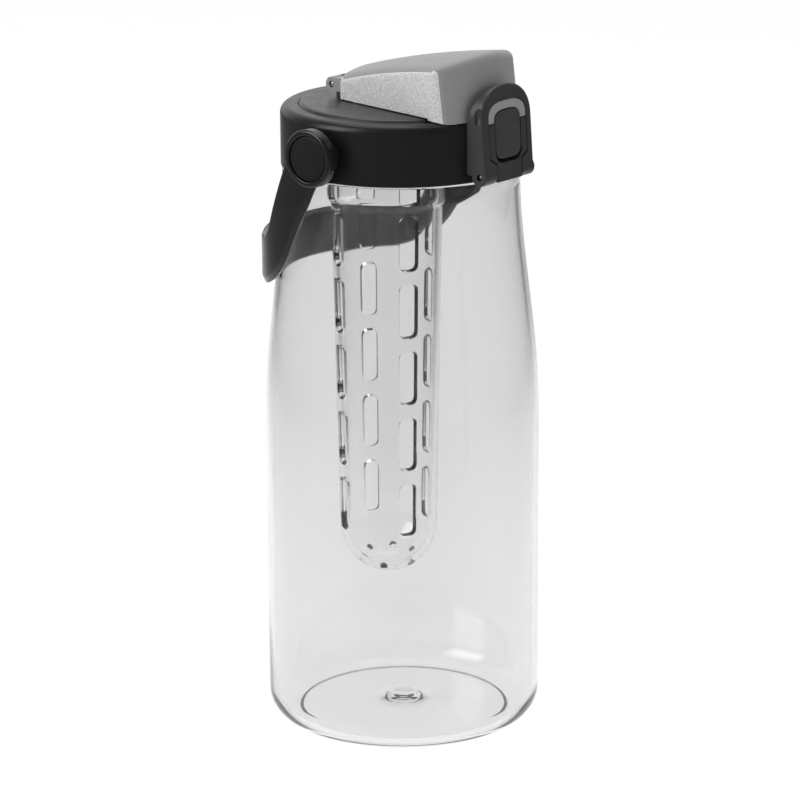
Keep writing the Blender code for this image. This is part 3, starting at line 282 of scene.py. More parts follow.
def ranged(tree, value, low, high, from_low=0.3, from_high=0.7, change="LINEAR"):
    """A value brought from one range, at first the middle of a noise's, to another."""
    ends = {"From Min": from_low, "From Max": from_high, "To Min": low, "To Max": high}
    return added(tree, "MapRange", {"Value": value, **ends}, interpolation_type=change)


def tinted(tree, value, dark, light):
    """A colour between two, by a noise value."""
    ends = {"A": (*dark, 1.0), "B": (*light, 1.0)}
    return added(tree, "Mix", {**ends, "Factor": ranged(tree, value, 0.0, 1.0)}, "Result", data_type="RGBA")


def bumped(tree, shader, height, depth, after=None):
    """Raise a shader's surface by a noise, on top of an earlier bump if there is one."""
    inputs = {"Height": height, "Distance": depth}
    if after:
        inputs["Normal"] = after
    bump = added(tree, "Bump", inputs)
    plug(tree, shader, {"Normal": bump})
    return bump


def blended(tree, share, first, second):
    """Show a share of the second shader over the first on a material's surface."""
    surface = added(tree, "MixShader", {"Fac": share, 1: first, 2: second})
    plug(tree, tree.nodes["Material Output"], {"Surface": surface})


def resin(name, tint, wave_depth):
    """Clear moulded resin: faintly hazy, with slow waves in its skin, uneven gloss and a pale shadow."""
    mat, tree, shader, place = new_material(name)
    dark = [c * 0.992 for c in tint]
    light = [min(c * 1.008, 1.0) for c in tint]
    plug(tree, shader, {"Base Color": tinted(tree, noise(tree, place, 22.0), dark, light),
                        "Roughness": ranged(tree, noise(tree, place, 90.0, 3.0), 0.012, 0.05),
                        "Transmission Weight": 1.0 - RESIN_HAZE, "IOR": RESIN_IOR})
    bumped(tree, shader, noise(tree, place, 16.0, 1.0, stretch=(1.0, 1.0, 0.45)), wave_depth)
    open_to_lamps = added(tree, "BsdfTransparent", {"Color": RESIN_SHADOW})
    blended(tree, added(tree, "LightPath", {}, "Is Shadow Ray"), shader.outputs["BSDF"], open_to_lamps)
    return mat


def finished(piece, mat, body, solid, smooth=35.0, flat_faces=True):
    """Give a piece its finish, hang it on the empty of the body it rides on, and hide the solid it stands in
    for.
    """
    take(piece)
    bpy.ops.object.shade_smooth_by_angle(angle=math.radians(smooth))
    if flat_faces:
        modify(piece, "Flat faces", "WEIGHTED_NORMAL", keep_sharp=True)
    if mat:
        piece.data.materials.clear()
        piece.data.materials.append(mat)
    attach(piece, body)
    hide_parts(solid)


def ease(share):
    return (1.0 - math.cos(math.pi * min(max(share, 0.0), 1.0))) / 2.0


def wall_radius(height):
    """The wall's outer radius: straight below, then drawn in smoothly to the shoulder's top."""
    waist = ease((height - SHOULDER_LOW_Z) / (SHOULDER_TOP_Z - SHOULDER_LOW_Z))
    return BODY_RADIUS + (SHOULDER_TOP_RADIUS - BODY_RADIUS) * waist


def floor_height(radius):
    """The floor's upper face, a shallow dome inside the foot ring."""
    return FLOOR_EDGE_Z + FLOOR_DOME * (1.0 - (radius / foot_radius) ** 2)


foot_radius = BODY_RADIUS - HEEL_RADIUS
gate_top = floor_height(0.0) + GATE_RISE
inside = [(radius * MM, gate_top + height * MM) for radius, height in GATE_BUTTON]
inside += [(GATE_SKIRT, floor_height(GATE_SKIRT) + 0.25 * MM)]
inside += [(GATE_RADIUS, floor_height(GATE_RADIUS) + 0.02 * MM)]
inside += [(ring, floor_height(ring)) for ring in spread(GATE_RADIUS, foot_radius - FLOOR_INSET, 8)[1:]]
inside += corner(BODY_RADIUS - BODY_WALL, FLOOR_EDGE_Z, HEEL_RADIUS - BODY_WALL, -88, 0, 12)
straight = spread(HEEL_RADIUS + WALL_EASE, SHOULDER_LOW_Z - WALL_EASE, 14)
inside += [(BODY_RADIUS - BODY_WALL, z) for z in straight]
shoulder = spread(SHOULDER_LOW_Z, SHOULDER_TOP_Z, 26)[:-1]
inside += [(wall_radius(z) - BODY_WALL, z) for z in shoulder]
inside += corner(NECK_BORE, SHOULDER_TOP_Z + NECK_INNER_RISE, NECK_INNER_ROUND, 225, 180)
inside += corner(NECK_BORE, RIM_Z, RIM_ROUND, 180, 90)
outside = corner(NECK_RADIUS, RIM_Z, RIM_ROUND, 90, 0)
outside += corner(NECK_RADIUS, SHOULDER_TOP_Z, NECK_FILLET, 180, 270)
outside += corner(SHOULDER_TOP_RADIUS, SHOULDER_TOP_Z, SHOULDER_ROUND, 90, 0)
outside += [(wall_radius(z), z) for z in reversed(shoulder)]
outside += [(BODY_RADIUS, z) for z in reversed(straight)]
outside += corner(BODY_RADIUS, 0.0, HEEL_RADIUS, 0, -90, 16)
outside += arc((foot_radius - FOOT_WIDE, FOOT_ROUND), FOOT_ROUND, -90, -135, 3)
recess_radius = foot_radius - FOOT_WIDE - FOOT_SLOPE
for step in range(7):
    inward = 1 - step / 6
    outside.append((recess_radius * inward, FOOT_RECESS + RECESS_DOME * (1.0 - inward ** 2)))
bottle = turned("bottle_shell", inside + outside, 144)
weld(bottle, wire("neck_thread", helix(NECK_RADIUS + 0.2 * MM, SHOULDER_TOP_Z + THREAD_RISE, 0, 300, 100),
                  THREAD_RIDGE))
bottle_resin = resin("bottle_resin", RESIN_TINT, RESIN_WAVE)
finished(bottle, bottle_resin, "bottle", "bottle", flat_faces=False)


# Infuser tube
# An injection-moulded tube of the same resin with a round end. Four columns of long slots narrow
# toward the inside, the top notches are open, and six drain holes ring the tip.

INFUSER_Y = 8.0 * MM
INFUSER_TOP_Z = 252.5 * MM
INFUSER_RING_RADIUS = 24.3 * MM
INFUSER_TOP_RADIUS = 23.4 * MM
INFUSER_END_RADIUS = 20.7 * MM
INFUSER_END_Z = 83.0 * MM
INFUSER_WALL = 2.6 * MM
FLARE_LOW_Z = 222.3 * MM
FLARE_TALL = 5.4 * MM
SLOT_FIRST_Z = 94.0 * MM
SLOT_PITCH = 29.0 * MM
SLOT_LONG = 25.0 * MM
SLOT_WIDE = 10.0 * MM
SLOT_INNER = 0.6
SLOT_SQUARE = 3.2
SLOT_TURN = 63.5
SLOT_ROWS = 5
DRAIN_ANGLE = math.radians(38.0)
DRAIN_RADIUS = 1.6 * MM
INFUSER_TINT = (0.994, 0.997, 0.996)
INFUSER_WAVE = 0.3 * MM


def rod(name, radius, start, end, steps=48, radius_end=None):
    """A round bar between two points, added as a cylinder or a cone."""
    start, end = Vector(start), Vector(end)
    run = end - start
    deselect()
    bpy.ops.mesh.primitive_cone_add(vertices=steps, radius1=radius, radius2=radius_end or radius,
                                    depth=run.length, location=(start + end) / 2,
                                    rotation=run.to_track_quat("Z", "Y").to_euler())
    return settled(name)


def join_all(pieces):
    """Put several shapes in one object."""
    deselect()
    for piece in pieces:
        piece.select_set(True)
    bpy.context.view_layer.objects.active = pieces[0]
    bpy.ops.object.join()
    return bpy.context.object


def squared(part, square):
    """One coordinate of a unit circle, pushed toward a square's: 2 keeps the circle."""
    return math.copysign(abs(part) ** (2 / square), part)


def slot_tool(turn, height, top):
    """One slot: a bar through the wall, narrower inside, drawn out to the slot's length or past the top."""
    reach = Vector((math.cos(turn), math.sin(turn), 0.0))
    middle = Vector((0.0, INFUSER_Y, height))
    tool = rod("slot", SLOT_WIDE / 2 * SLOT_INNER, middle + reach * (end_bore - 2 * MM),
               middle + reach * (INFUSER_RING_RADIUS + 2 * MM), radius_end=SLOT_WIDE / 2)
    aside = Vector((-reach.y, reach.x, 0.0))
    half_run = (SLOT_LONG - SLOT_WIDE) / 2
    for vertex in tool.data.vertices:
        spot = vertex.co - middle
        across = spot.dot(aside)
        radius = math.hypot(across, spot.z)
        angle = math.atan2(spot.z, across)
        lift = radius * squared(math.sin(angle), SLOT_SQUARE)
        if lift > 0.01 * MM:
            lift += SLOT_LONG * 2 if top else half_run
        elif lift < -0.01 * MM:
            lift -= half_run
        across = radius * squared(math.cos(angle), SLOT_SQUARE)
        vertex.co = middle + reach * spot.dot(reach) + aside * across + Vector((0.0, 0.0, lift))
    return tool


end_bore = INFUSER_END_RADIUS - INFUSER_WALL
sleeve = list(zip(spread(INFUSER_END_RADIUS, INFUSER_TOP_RADIUS, 28), spread(INFUSER_END_Z, FLARE_LOW_Z, 28)))
for share in spread(0.0, 1.0, 8)[1:]:
    sleeve.append((INFUSER_TOP_RADIUS + (INFUSER_RING_RADIUS - INFUSER_TOP_RADIUS) * ease(share),
                   FLARE_LOW_Z + FLARE_TALL * share))
for z in spread(FLARE_LOW_Z + FLARE_TALL, INFUSER_TOP_Z - 1.0 * MM, 8)[1:]:
    sleeve.append((INFUSER_RING_RADIUS, z))
tube = arc((0.0, INFUSER_END_Z), end_bore, -90, 0, 14)
tube += [(radius - INFUSER_WALL, z) for radius, z in sleeve[1:]]
tube += corner(INFUSER_RING_RADIUS - INFUSER_WALL, INFUSER_TOP_Z, RIM_ROUND, 180, 90)
tube += corner(INFUSER_RING_RADIUS, INFUSER_TOP_Z, RIM_ROUND, 90, 0)
tube += sleeve[:0:-1]
tube += arc((0.0, INFUSER_END_Z), INFUSER_END_RADIUS, 0, -90, 20)
infuser = turned("infuser_sleeve", tube, 120, (0.0, INFUSER_Y, 0.0))
openings = []
for column in range(4):
    turn = math.radians(SLOT_TURN + 90 * column)
    for row in range(SLOT_ROWS + 1):
        openings.append(slot_tool(turn, SLOT_FIRST_Z + SLOT_PITCH * row, row == SLOT_ROWS))
tip = Vector((0.0, INFUSER_Y, INFUSER_END_Z))
for hole in range(6):
    turn = math.radians(60 * (hole + 0.5))
    outward = math.sin(DRAIN_ANGLE)
    reach = Vector((math.cos(turn) * outward, math.sin(turn) * outward, -math.cos(DRAIN_ANGLE)))
    openings.append(rod("drain", DRAIN_RADIUS, tip + reach * (end_bore - 3 * MM),
                        tip + reach * (INFUSER_END_RADIUS + 3 * MM), 24))
cut(infuser, join_all(openings))
infuser_resin = resin("infuser_resin", INFUSER_TINT, INFUSER_WAVE)
finished(infuser, infuser_resin, "infuser", "infuser_tube", smooth=32.0, flat_faces=False)


# Gasket
# A flat ring of white silicone that the deck presses on the bottle's rim. It is moulded with
# slightly rounded corners and a fine matt skin.

GASKET_LOW_Z = 260.5 * MM
GASKET_TOP_Z = 262.1 * MM
GASKET_OUTER = 45.6 * MM
GASKET_ROUND = 0.35 * MM


def rounded_rectangle(inner, outer, low, top, radius):
    """A ring's section with rounded corners, as (radius, height) points."""
    right = corner(outer, top, radius, 90, 0) + corner(outer, low, radius, 0, -90)
    return right + corner(inner, low, radius, -90, -180) + corner(inner, top, radius, 180, 90)


def silicone(name):
    """Soft white silicone: powdery, with a little light inside it."""
    mat, tree, shader, place = new_material(name)
    colour = tinted(tree, noise(tree, place, 120.0, 3.0), (0.7, 0.7, 0.675), (0.78, 0.78, 0.76))
    plug(tree, shader, {"Base Color": colour, "Subsurface Weight": 0.2, "Subsurface Scale": 0.001,
                        "Roughness": ranged(tree, noise(tree, place, 700.0), 0.5, 0.68)})
    bumped(tree, shader, noise(tree, place, 3500.0), 0.02 * MM)
    return mat


gasket = turned("rim_gasket", rounded_rectangle(NECK_BORE, GASKET_OUTER, GASKET_LOW_Z, GASKET_TOP_Z,
                                                GASKET_ROUND), 128)
white_silicone = silicone("white_silicone")
finished(gasket, white_silicone, "gasket", "lid_gasket")


# Deck
# The lid's inner disc in satin black, moulded with the drinking spout, the socket that the infuser
# pushes onto, and the two lugs of the cap's hinge. Its flange is held down by the collar.

DECK_RADIUS = 42.6 * MM
DECK_TOP_Z = 267.9 * MM
DECK_ROUND = 2.2 * MM
FLANGE_RADIUS = 46.2 * MM
FLANGE_LOW_Z = 262.4 * MM
FLANGE_TOP_Z = 264.3 * MM
FLANGE_CHAMFER = 0.4 * MM
SPOUT_Y = -26.0 * MM
SPOUT_RADIUS = 9.8 * MM
SPOUT_BORE = 7.8 * MM
SPOUT_TOP_Z = 278.9 * MM
SPOUT_ROUND = 1.0 * MM
SPOUT_FILLET = 1.4 * MM
SOCKET_RADIUS = 20.5 * MM
SOCKET_BORE = 18.6 * MM
SOCKET_LOW_Z = 241.0 * MM
HINGE_Y = 25.2 * MM
HINGE_Z = 273.5 * MM
KNUCKLE_RADIUS = 3.1 * MM
LUG_IN = 5.4 * MM
LUG_OUT = 8.6 * MM
PIN_HOLE = 1.45 * MM


def moulded(name, colour, gloss, grain, grain_scale=2200.0, mottle=0.06, specular=0.5, speckle=0.0):
    """Moulded plastic: cloudy colour, uneven gloss, and the tool's fine grain as bump and speckle."""
    mat, tree, shader, place = new_material(name)
    dark = [c * (1.0 - mottle) for c in colour]
    light = [c * (1.0 + mottle) for c in colour]
    base = tinted(tree, noise(tree, place, 75.0, 4.0), dark, light)
    fine = noise(tree, place, grain_scale, 2.0, 0.6)
    if speckle:
        flecks = tinted(tree, fine, (1.0 - speckle,) * 3, (1.0 + speckle,) * 3)
        base = added(tree, "Mix", {"Factor": 1.0, "A": base, "B": flecks}, "Result", data_type="RGBA",
                     blend_type="MULTIPLY")
    plug(tree, shader, {"Base Color": base, "Specular IOR Level": specular,
                        "Roughness": ranged(tree, noise(tree, place, 260.0, 3.0), *gloss)})
    waves = bumped(tree, shader, noise(tree, place, 40.0, 1.0), 0.12 * MM)
    bumped(tree, shader, fine, grain, after=waves)
    return mat


def block(name, start, end):
    """A box between two opposite corners."""
    low, high = Vector(map(min, start, end)), Vector(map(max, start, end))
    deselect()
    bpy.ops.mesh.primitive_cube_add(size=1.0, location=(low + high) / 2, scale=high - low)
    return settled(name)


def bar(name, radius, start_x, end_x, y, z, steps):
    """A round bar along X."""
    return rod(name, radius, (start_x, y, z), (end_x, y, z), steps)


def post(name, radius, y, low_z, high_z, steps, radius_end=None):
    """A round bar along Z over the lid's middle line."""
    return rod(name, radius, (0, y, low_z), (0, y, high_z), steps, radius_end)


def cross_hole(piece, radius, half, y, z):
    """Drill a hole along X through a piece that is less than two halves wide."""
    cut(piece, bar("hole", radius, -half, half, y, z, 24))


disc = [(0.0, DECK_TOP_Z), (DECK_RADIUS - DECK_ROUND - 1.0 * MM, DECK_TOP_Z)]
disc += corner(DECK_RADIUS, DECK_TOP_Z, DECK_ROUND, 80, 0, 7)
disc += [(DECK_RADIUS, FLANGE_TOP_Z), (FLANGE_RADIUS - FLANGE_CHAMFER, FLANGE_TOP_Z)]
disc += [(FLANGE_RADIUS, FLANGE_TOP_Z - FLANGE_CHAMFER), (FLANGE_RADIUS, FLANGE_LOW_Z), (0.0, FLANGE_LOW_Z)]
deck = turned("lid_disc", disc, 144)
deck_middle = (FLANGE_LOW_Z + DECK_TOP_Z) / 2
socket = rounded_rectangle(SOCKET_BORE, SOCKET_RADIUS, SOCKET_LOW_Z, deck_middle, RIM_ROUND)
weld(deck, turned("infuser_socket", socket, 96, (0.0, INFUSER_Y, 0.0)))
spout_foot = SPOUT_RADIUS + SPOUT_FILLET + 0.2 * MM
spout_inside = SPOUT_BORE - 1.0 * MM
spout_ring = [(spout_inside, deck_middle), (spout_foot, deck_middle), (spout_foot, DECK_TOP_Z - 0.2 * MM)]
spout_ring += corner(SPOUT_RADIUS, DECK_TOP_Z, SPOUT_FILLET, -90, -180, 4)
spout_ring += arc((SPOUT_RADIUS - SPOUT_ROUND, SPOUT_TOP_Z - SPOUT_ROUND), SPOUT_ROUND, 0, 180, 8)
spout_ring += [(spout_inside, SPOUT_TOP_Z - SPOUT_ROUND)]
weld(deck, turned("spout_ring", spout_ring, 72, (0.0, SPOUT_Y, 0.0)))
cut(deck, post("spout_bore", SPOUT_BORE, SPOUT_Y, FLANGE_LOW_Z - 2 * MM, SPOUT_TOP_Z + 2 * MM, 72))
for side in (-1, 1):
    weld(deck, bar("lug", KNUCKLE_RADIUS, side * LUG_IN, side * LUG_OUT, HINGE_Y, HINGE_Z, 40))
    weld(deck, block("lug_foot", (side * LUG_IN, HINGE_Y - KNUCKLE_RADIUS * 0.8, deck_middle),
                     (side * LUG_OUT, HINGE_Y + KNUCKLE_RADIUS * 0.8, HINGE_Z - 0.4 * MM)))
cross_hole(deck, PIN_HOLE, 12 * MM, HINGE_Y, HINGE_Z)
deck_plastic = moulded("deck_plastic", (0.0125, 0.0127, 0.013), (0.33, 0.42), 0.01 * MM, mottle=0.08)
finished(deck, deck_plastic, "lid", "lid_deck")


# O-ring
# A thin silicone ring in the gap between the deck's socket and the infuser tube. It grips the tube.

O_RING_Z = 245.0 * MM
O_RING_MIDDLE = 21.1 * MM
O_RING_THICK = 0.35 * MM

ring_points = [(x, y, O_RING_Z) for x, y in arc((0.0, INFUSER_Y), O_RING_MIDDLE, 0, 360, 96)[:-1]]
o_ring = wire("socket_ring", ring_points, O_RING_THICK, closed=True)
finished(o_ring, white_silicone, "lid", "infuser_o_ring")


# Collar
# The screw ring of the lid in satin black, with a rounded top edge, a fine chamfer below, one thread
# ridge inside and a boss on each side that carries the handle's eye.

COLLAR_BORE = 47.2 * MM
COLLAR_RADIUS = 50.1 * MM
COLLAR_LOW_Z = 241.5 * MM
COLLAR_TOP_Z = 266.8 * MM
COLLAR_HOLE = 42.64 * MM
COLLAR_ROUND = 3.6 * MM
COLLAR_LOW_ROUND = 0.5 * MM
COLLAR_CHAMFER = 0.3 * MM
COLLAR_LIP = 0.05 * MM
COLLAR_RIDGE_RADIUS = 47.0 * MM
COLLAR_RIDGE_Z = 246.2 * MM
BOSS_RADIUS = 8.2 * MM
BOSS_FACE = 55.0 * MM
BOSS_HOLE_START = 50.5 * MM
PIVOT_Z = 252.8 * MM
SCREW_HOLE = 2.95 * MM


def soften(piece, width, segments=3, angle=40.0):
    """Round the edges that are sharper than an angle."""
    return modify(piece, "Round edges", "BEVEL", width=width, segments=segments, limit_method="ANGLE",
                  angle_limit=math.radians(angle), miter_outer="MITER_ARC")


ring = [(COLLAR_HOLE, COLLAR_TOP_Z - COLLAR_LIP), (COLLAR_HOLE + COLLAR_LIP, COLLAR_TOP_Z)]
ring += corner(COLLAR_RADIUS, COLLAR_TOP_Z, COLLAR_ROUND, 90, 0, 12)
ring += corner(COLLAR_RADIUS, COLLAR_LOW_Z, COLLAR_LOW_ROUND, 0, -90, 4)
ring += [(COLLAR_BORE + COLLAR_CHAMFER, COLLAR_LOW_Z), (COLLAR_BORE, COLLAR_LOW_Z + COLLAR_CHAMFER)]
ring += [(COLLAR_BORE, FLANGE_TOP_Z + 0.3 * MM), (COLLAR_HOLE, FLANGE_TOP_Z + 0.3 * MM)]
collar = turned("lid_ring", ring, 144)
weld(collar, wire("collar_thread", helix(COLLAR_RIDGE_RADIUS, COLLAR_RIDGE_Z, 100, 280, 72), THREAD_RIDGE))
for side in (-1, 1):
    boss = bar("boss", BOSS_RADIUS, side * (COLLAR_BORE + 1.0 * MM), side * BOSS_FACE, 0, PIVOT_Z, 64)
    weld(collar, soften(boss, 0.5 * MM))
    hole_end = side * (BOSS_FACE + 3 * MM)
    cut(collar, bar("boss_hole", SCREW_HOLE, side * BOSS_HOLE_START, hole_end, 0, PIVOT_Z, 32))
black_satin = moulded("black_satin", (0.0102, 0.0102, 0.0106), (0.3, 0.36), 0.0015 * MM, specular=0.28)
finished(collar, black_satin, "lid", "lid_collar")


# Flip cap
# A hollow wedge of grey plastic, high over the latch and low at its hinge. Top, front and corners are
# smooth; the two side panels are sunk a hair and sanded, with a lighter grey border that is a painted
# highlight along each panel's edge. It turns on two knuckles at its rear.

CAP_FRONT_RADIUS = 49.2 * MM
CAP_FRONT_LEAN = 3.0 * MM
CAP_REAR_Y = 20.5 * MM
CAP_REAR_HALF = 16.4 * MM
CAP_CORNER_HALF = 26.0 * MM
CAP_REAR_TOP = 12.0 * MM
CAP_FRONT_TOP = 24.6 * MM
CAP_BULGE = 1.9 * MM
CAP_CROWN = 2.6 * MM
CAP_LIFT = 0.5 * MM
CAP_WALL = 2.0 * MM
CAP_ROUND = 3.4 * MM
CAP_LIP_Z = 265.9 * MM
CAP_KNUCKLE_IN = 8.9 * MM
CAP_KNUCKLE_OUT = 14.6 * MM
CAP_ACROSS = 9
CAP_ALONG = 8
PANEL_EDGE = 0.3 * MM
PANEL_SUNK = 0.06 * MM
SEAL_BOSS_RADIUS = 6.0 * MM
SEAL_TOP_Z = 280.9 * MM


def cap_crest(y):
    """Height of the cap's middle line over the table."""
    front = -CAP_FRONT_RADIUS + CAP_FRONT_LEAN
    share = (CAP_REAR_Y - y) / (CAP_REAR_Y - front)
    rise = CAP_REAR_TOP + (CAP_FRONT_TOP - CAP_REAR_TOP) * share
    return DECK_TOP_Z + rise + CAP_BULGE * 4 * share * (1 - share)


def cap_front(x):
    """y of the cap's rounded front at its crest."""
    return -math.sqrt(CAP_FRONT_RADIUS ** 2 - x ** 2) + CAP_FRONT_LEAN


def sheet(name, columns, rows):
    """A flat grid of faces from -1 to 1."""
    deselect()
    bpy.ops.mesh.primitive_grid_add(x_subdivisions=columns, y_subdivisions=rows, size=2.0, location=(0, 0, 0))
    return settled(name)


def face_outward(piece, outward):
    """Turn an open sheet over if its faces' outward shares come to less than nothing."""
    if sum(outward(face) for face in piece.data.polygons) < 0:
        edit(piece)
        bpy.ops.mesh.flip_normals()
        bpy.ops.object.mode_set(mode="OBJECT")


cap = sheet("flip_cap_shell", CAP_ACROSS, CAP_ALONG)
for vertex in cap.data.vertices:
    across, back_share = vertex.co.x, (1.0 - vertex.co.y) / 2.0
    half = CAP_REAR_HALF + (CAP_CORNER_HALF - CAP_REAR_HALF) * back_share
    y = CAP_REAR_Y + (cap_front(across * CAP_CORNER_HALF) - CAP_REAR_Y) * back_share
    vertex.co = (across * half, y, cap_crest(y) - CAP_CROWN * across * across)
edit(cap)
bpy.ops.mesh.select_mode(type="EDGE")
bpy.ops.mesh.region_to_loop()
bpy.ops.mesh.extrude_region_move(TRANSFORM_OT_translate={"value": (0.0, 0.0, -1.0 * MM)})
bpy.ops.object.mode_set(mode="OBJECT")
corner_y = cap_front(CAP_CORNER_HALF)
for vertex in cap.data.vertices:
    if vertex.select:
        vertex.co.z = CAP_LIP_Z
        if vertex.co.y < corner_y + 0.5 * MM:
            vertex.co.y -= CAP_FRONT_LEAN
edit(cap)
faces_out()
face_outward(cap, lambda face: face.normal.z * face.area)
soften(cap, CAP_ROUND, 6, 45.0)
cap_smooth = moulded("cap_smooth", (0.25, 0.252, 0.252), (0.38, 0.46), 0.004 * MM, mottle=0.012)
cap_sanded = moulded("cap_sanded", (0.49, 0.49, 0.488), (0.5, 0.65), 0.09 * MM, 1500.0, 0.02, speckle=0.32)
# A lighter, glossier grey for the thin border round each side panel: a painted highlight along the panel's
# edge.
cap_painted_highlight = moulded("cap_painted_highlight", (0.6, 0.6, 0.598), (0.35, 0.45), 0.01 * MM, mottle=0.02)
for mat in (cap_smooth, cap_sanded, cap_painted_highlight):
    cap.data.materials.append(mat)
panel_lean = math.atan2(CAP_CORNER_HALF - CAP_REAR_HALF, CAP_REAR_Y - corner_y)
for side in (-1, 1):
    outward = Vector((side * math.cos(panel_lean), math.sin(panel_lean), 0.0))
    edit(cap)
    bpy.ops.mesh.select_mode(type="FACE")
    bpy.ops.mesh.select_all(action="DESELECT")
    bpy.ops.object.mode_set(mode="OBJECT")
    # The panel's faces first take the painted highlight colour; after the inset only the border keeps it, and
    # the inner faces turn sanded.
    for face in cap.data.polygons:
        face.select = face.normal.dot(outward) > 0.72 and face.normal.z < 0.45
        if face.select:
            face.material_index = 2
    bpy.ops.object.mode_set(mode="EDIT")
    bpy.ops.mesh.inset(thickness=PANEL_EDGE, depth=PANEL_SUNK, use_boundary=False)
    bpy.ops.object.mode_set(mode="OBJECT")
    for face in cap.data.polygons:
        if face.select:
            face.material_index = 1
modify(cap, "Wall", "SOLIDIFY", thickness=CAP_WALL, offset=-1.0, use_even_offset=True)
for side in (-1, 1):
    near, far = side * CAP_KNUCKLE_IN, side * CAP_KNUCKLE_OUT
    weld(cap, bar("cap_knuckle", KNUCKLE_RADIUS, near, far, HINGE_Y, HINGE_Z, 40))
    weld(cap, block("knuckle_arm", (near, CAP_REAR_Y - CAP_WALL * 0.6, HINGE_Z - KNUCKLE_RADIUS * 0.9),
                    (far, HINGE_Y, HINGE_Z + KNUCKLE_RADIUS * 0.9)))
cross_hole(cap, PIN_HOLE, 16 * MM, HINGE_Y, HINGE_Z)
seat = [(0.0, DECK_TOP_Z + CAP_LIFT), (DECK_RADIUS + CAP_LIFT, DECK_TOP_Z + CAP_LIFT)]
seat += [(DECK_RADIUS + CAP_LIFT, COLLAR_TOP_Z + CAP_LIFT * 1.5)]
seat += corner(COLLAR_RADIUS + CAP_LIFT, COLLAR_TOP_Z + CAP_LIFT, COLLAR_ROUND + CAP_LIFT, 90, 0, 12)
seat += [(0.0, COLLAR_TOP_Z - COLLAR_ROUND)]
cut(cap, turned("cap_seat", seat, 128))
cut(cap, block("lug_slot", (-LUG_OUT - 0.3 * MM, CAP_REAR_Y - CAP_WALL * 1.4, CAP_LIP_Z - 1 * MM),
               (LUG_OUT + 0.3 * MM, CAP_REAR_Y + 3 * MM, HINGE_Z + KNUCKLE_RADIUS + 0.3 * MM)))
weld(cap, post("seal_boss", SEAL_BOSS_RADIUS, SPOUT_Y, SEAL_TOP_Z + 0.3 * MM,
               cap_crest(SPOUT_Y) - CAP_WALL * 0.6, 48))
finished(cap, None, "cap", "flip_cap", smooth=30.0)


# Spout seal
# A silicone stopper pressed onto the boss under the cap. Its plug enters the spout and its flange
# lies on the spout's rim.

PLUG_RADIUS = 7.2 * MM
PLUG_LOW_Z = 277.3 * MM
PLUG_ROUND = 0.7 * MM
PLUG_DIMPLE = 0.6 * MM
SEAL_FLANGE_RADIUS = 9.3 * MM
SEAL_FLANGE_LOW_Z = 279.2 * MM

stopper = [(0.0, SEAL_TOP_Z), (SEAL_FLANGE_RADIUS - 0.4 * MM, SEAL_TOP_Z)]
stopper += corner(SEAL_FLANGE_RADIUS, SEAL_TOP_Z, 0.4 * MM, 90, 0)
stopper += corner(SEAL_FLANGE_RADIUS, SEAL_FLANGE_LOW_Z, 0.3 * MM, 0, -90)
stopper += [(PLUG_RADIUS, SEAL_FLANGE_LOW_Z)]
stopper += corner(PLUG_RADIUS, PLUG_LOW_Z, PLUG_ROUND, 0, -90, 4)
stopper += [(PLUG_RADIUS - 2.6 * MM, PLUG_LOW_Z), (PLUG_RADIUS - 3.0 * MM, PLUG_LOW_Z + PLUG_DIMPLE)]
stopper += [(0.0, PLUG_LOW_Z + PLUG_DIMPLE)]
seal = turned("spout_stopper", stopper, 72, (0.0, SPOUT_Y, 0.0))
finished(seal, white_silicone, "cap", "spout_seal")


# Hinge pin and cap spring
# A straight steel pin runs through the knuckles and lugs, with slightly domed ends. A torsion spring
# sits on it between the lugs, one leg on the deck and one under the cap.

PIN_RADIUS = 1.1 * MM
PIN_HALF = 14.3 * MM
PIN_DOME = 0.25 * MM
SPRING_WIRE = 0.4 * MM
SPRING_COIL = 2.0 * MM
SPRING_TURNS = 5
SPRING_HALF = 4.7 * MM
SPRING_LEG = 9.0 * MM
SPRING_LEG_DOWN = 1.2 * MM
SPRING_LEG_UP = 2.4 * MM


def steel(name, along, gloss):
    """Drawn steel: fine lines along the wire or bar."""
    mat, tree, shader, place = new_material(name)
    stretch = tuple(0.04 if axis == along else 1.0 for axis in "xyz")
    lines = noise(tree, place, 2600.0, 3.0, 0.7, stretch)
    plug(tree, shader, {"Base Color": tinted(tree, lines, (0.5, 0.5, 0.51), (0.68, 0.68, 0.69)),
                        "Roughness": ranged(tree, lines, *gloss), "Metallic": 1.0})
    bumped(tree, shader, lines, 0.008 * MM)
    return mat


def pin(name, radius, half, y, z):
    """A straight pin along X with chamfered, slightly domed ends."""
    end = [(0.0, half), (radius * 0.5, half - PIN_DOME * 0.12), (radius * 0.8, half - PIN_DOME * 0.5)]
    end += [(radius, half - PIN_DOME * 1.6)]
    return turned(name, end + [(out, -height) for out, height in reversed(end)], 40, (0.0, y, z), 1)


bar_steel = steel("bar_steel", "x", (0.16, 0.3))
hinge_pin = pin("cap_pin", PIN_RADIUS, PIN_HALF, HINGE_Y, HINGE_Z)
finished(hinge_pin, bar_steel, "lid", "hinge_pin")
turns = arc((HINGE_Y, HINGE_Z), SPRING_COIL, -90, -90 + 360 * SPRING_TURNS, SPRING_TURNS * 24)
coil = [(-SPRING_HALF, HINGE_Y - SPRING_LEG, HINGE_Z - SPRING_COIL - SPRING_LEG_DOWN)]
coil += [(x, y, z) for x, (y, z) in zip(spread(-SPRING_HALF, SPRING_HALF, SPRING_TURNS * 24), turns)]
coil += [(SPRING_HALF, HINGE_Y - SPRING_LEG, HINGE_Z - SPRING_COIL + SPRING_LEG_UP)]
cap_spring = wire("cap_torsion_spring", coil, SPRING_WIRE, 2)
wire_steel = steel("wire_steel", "z", (0.2, 0.32))
finished(cap_spring, wire_steel, "lid", "cap_spring", smooth=60.0)


# Latch housing
# A charcoal bracket moulded to the collar's front. It holds the button's well, the button's pin and,
# on a block between the bail's feet, the bail's pin.

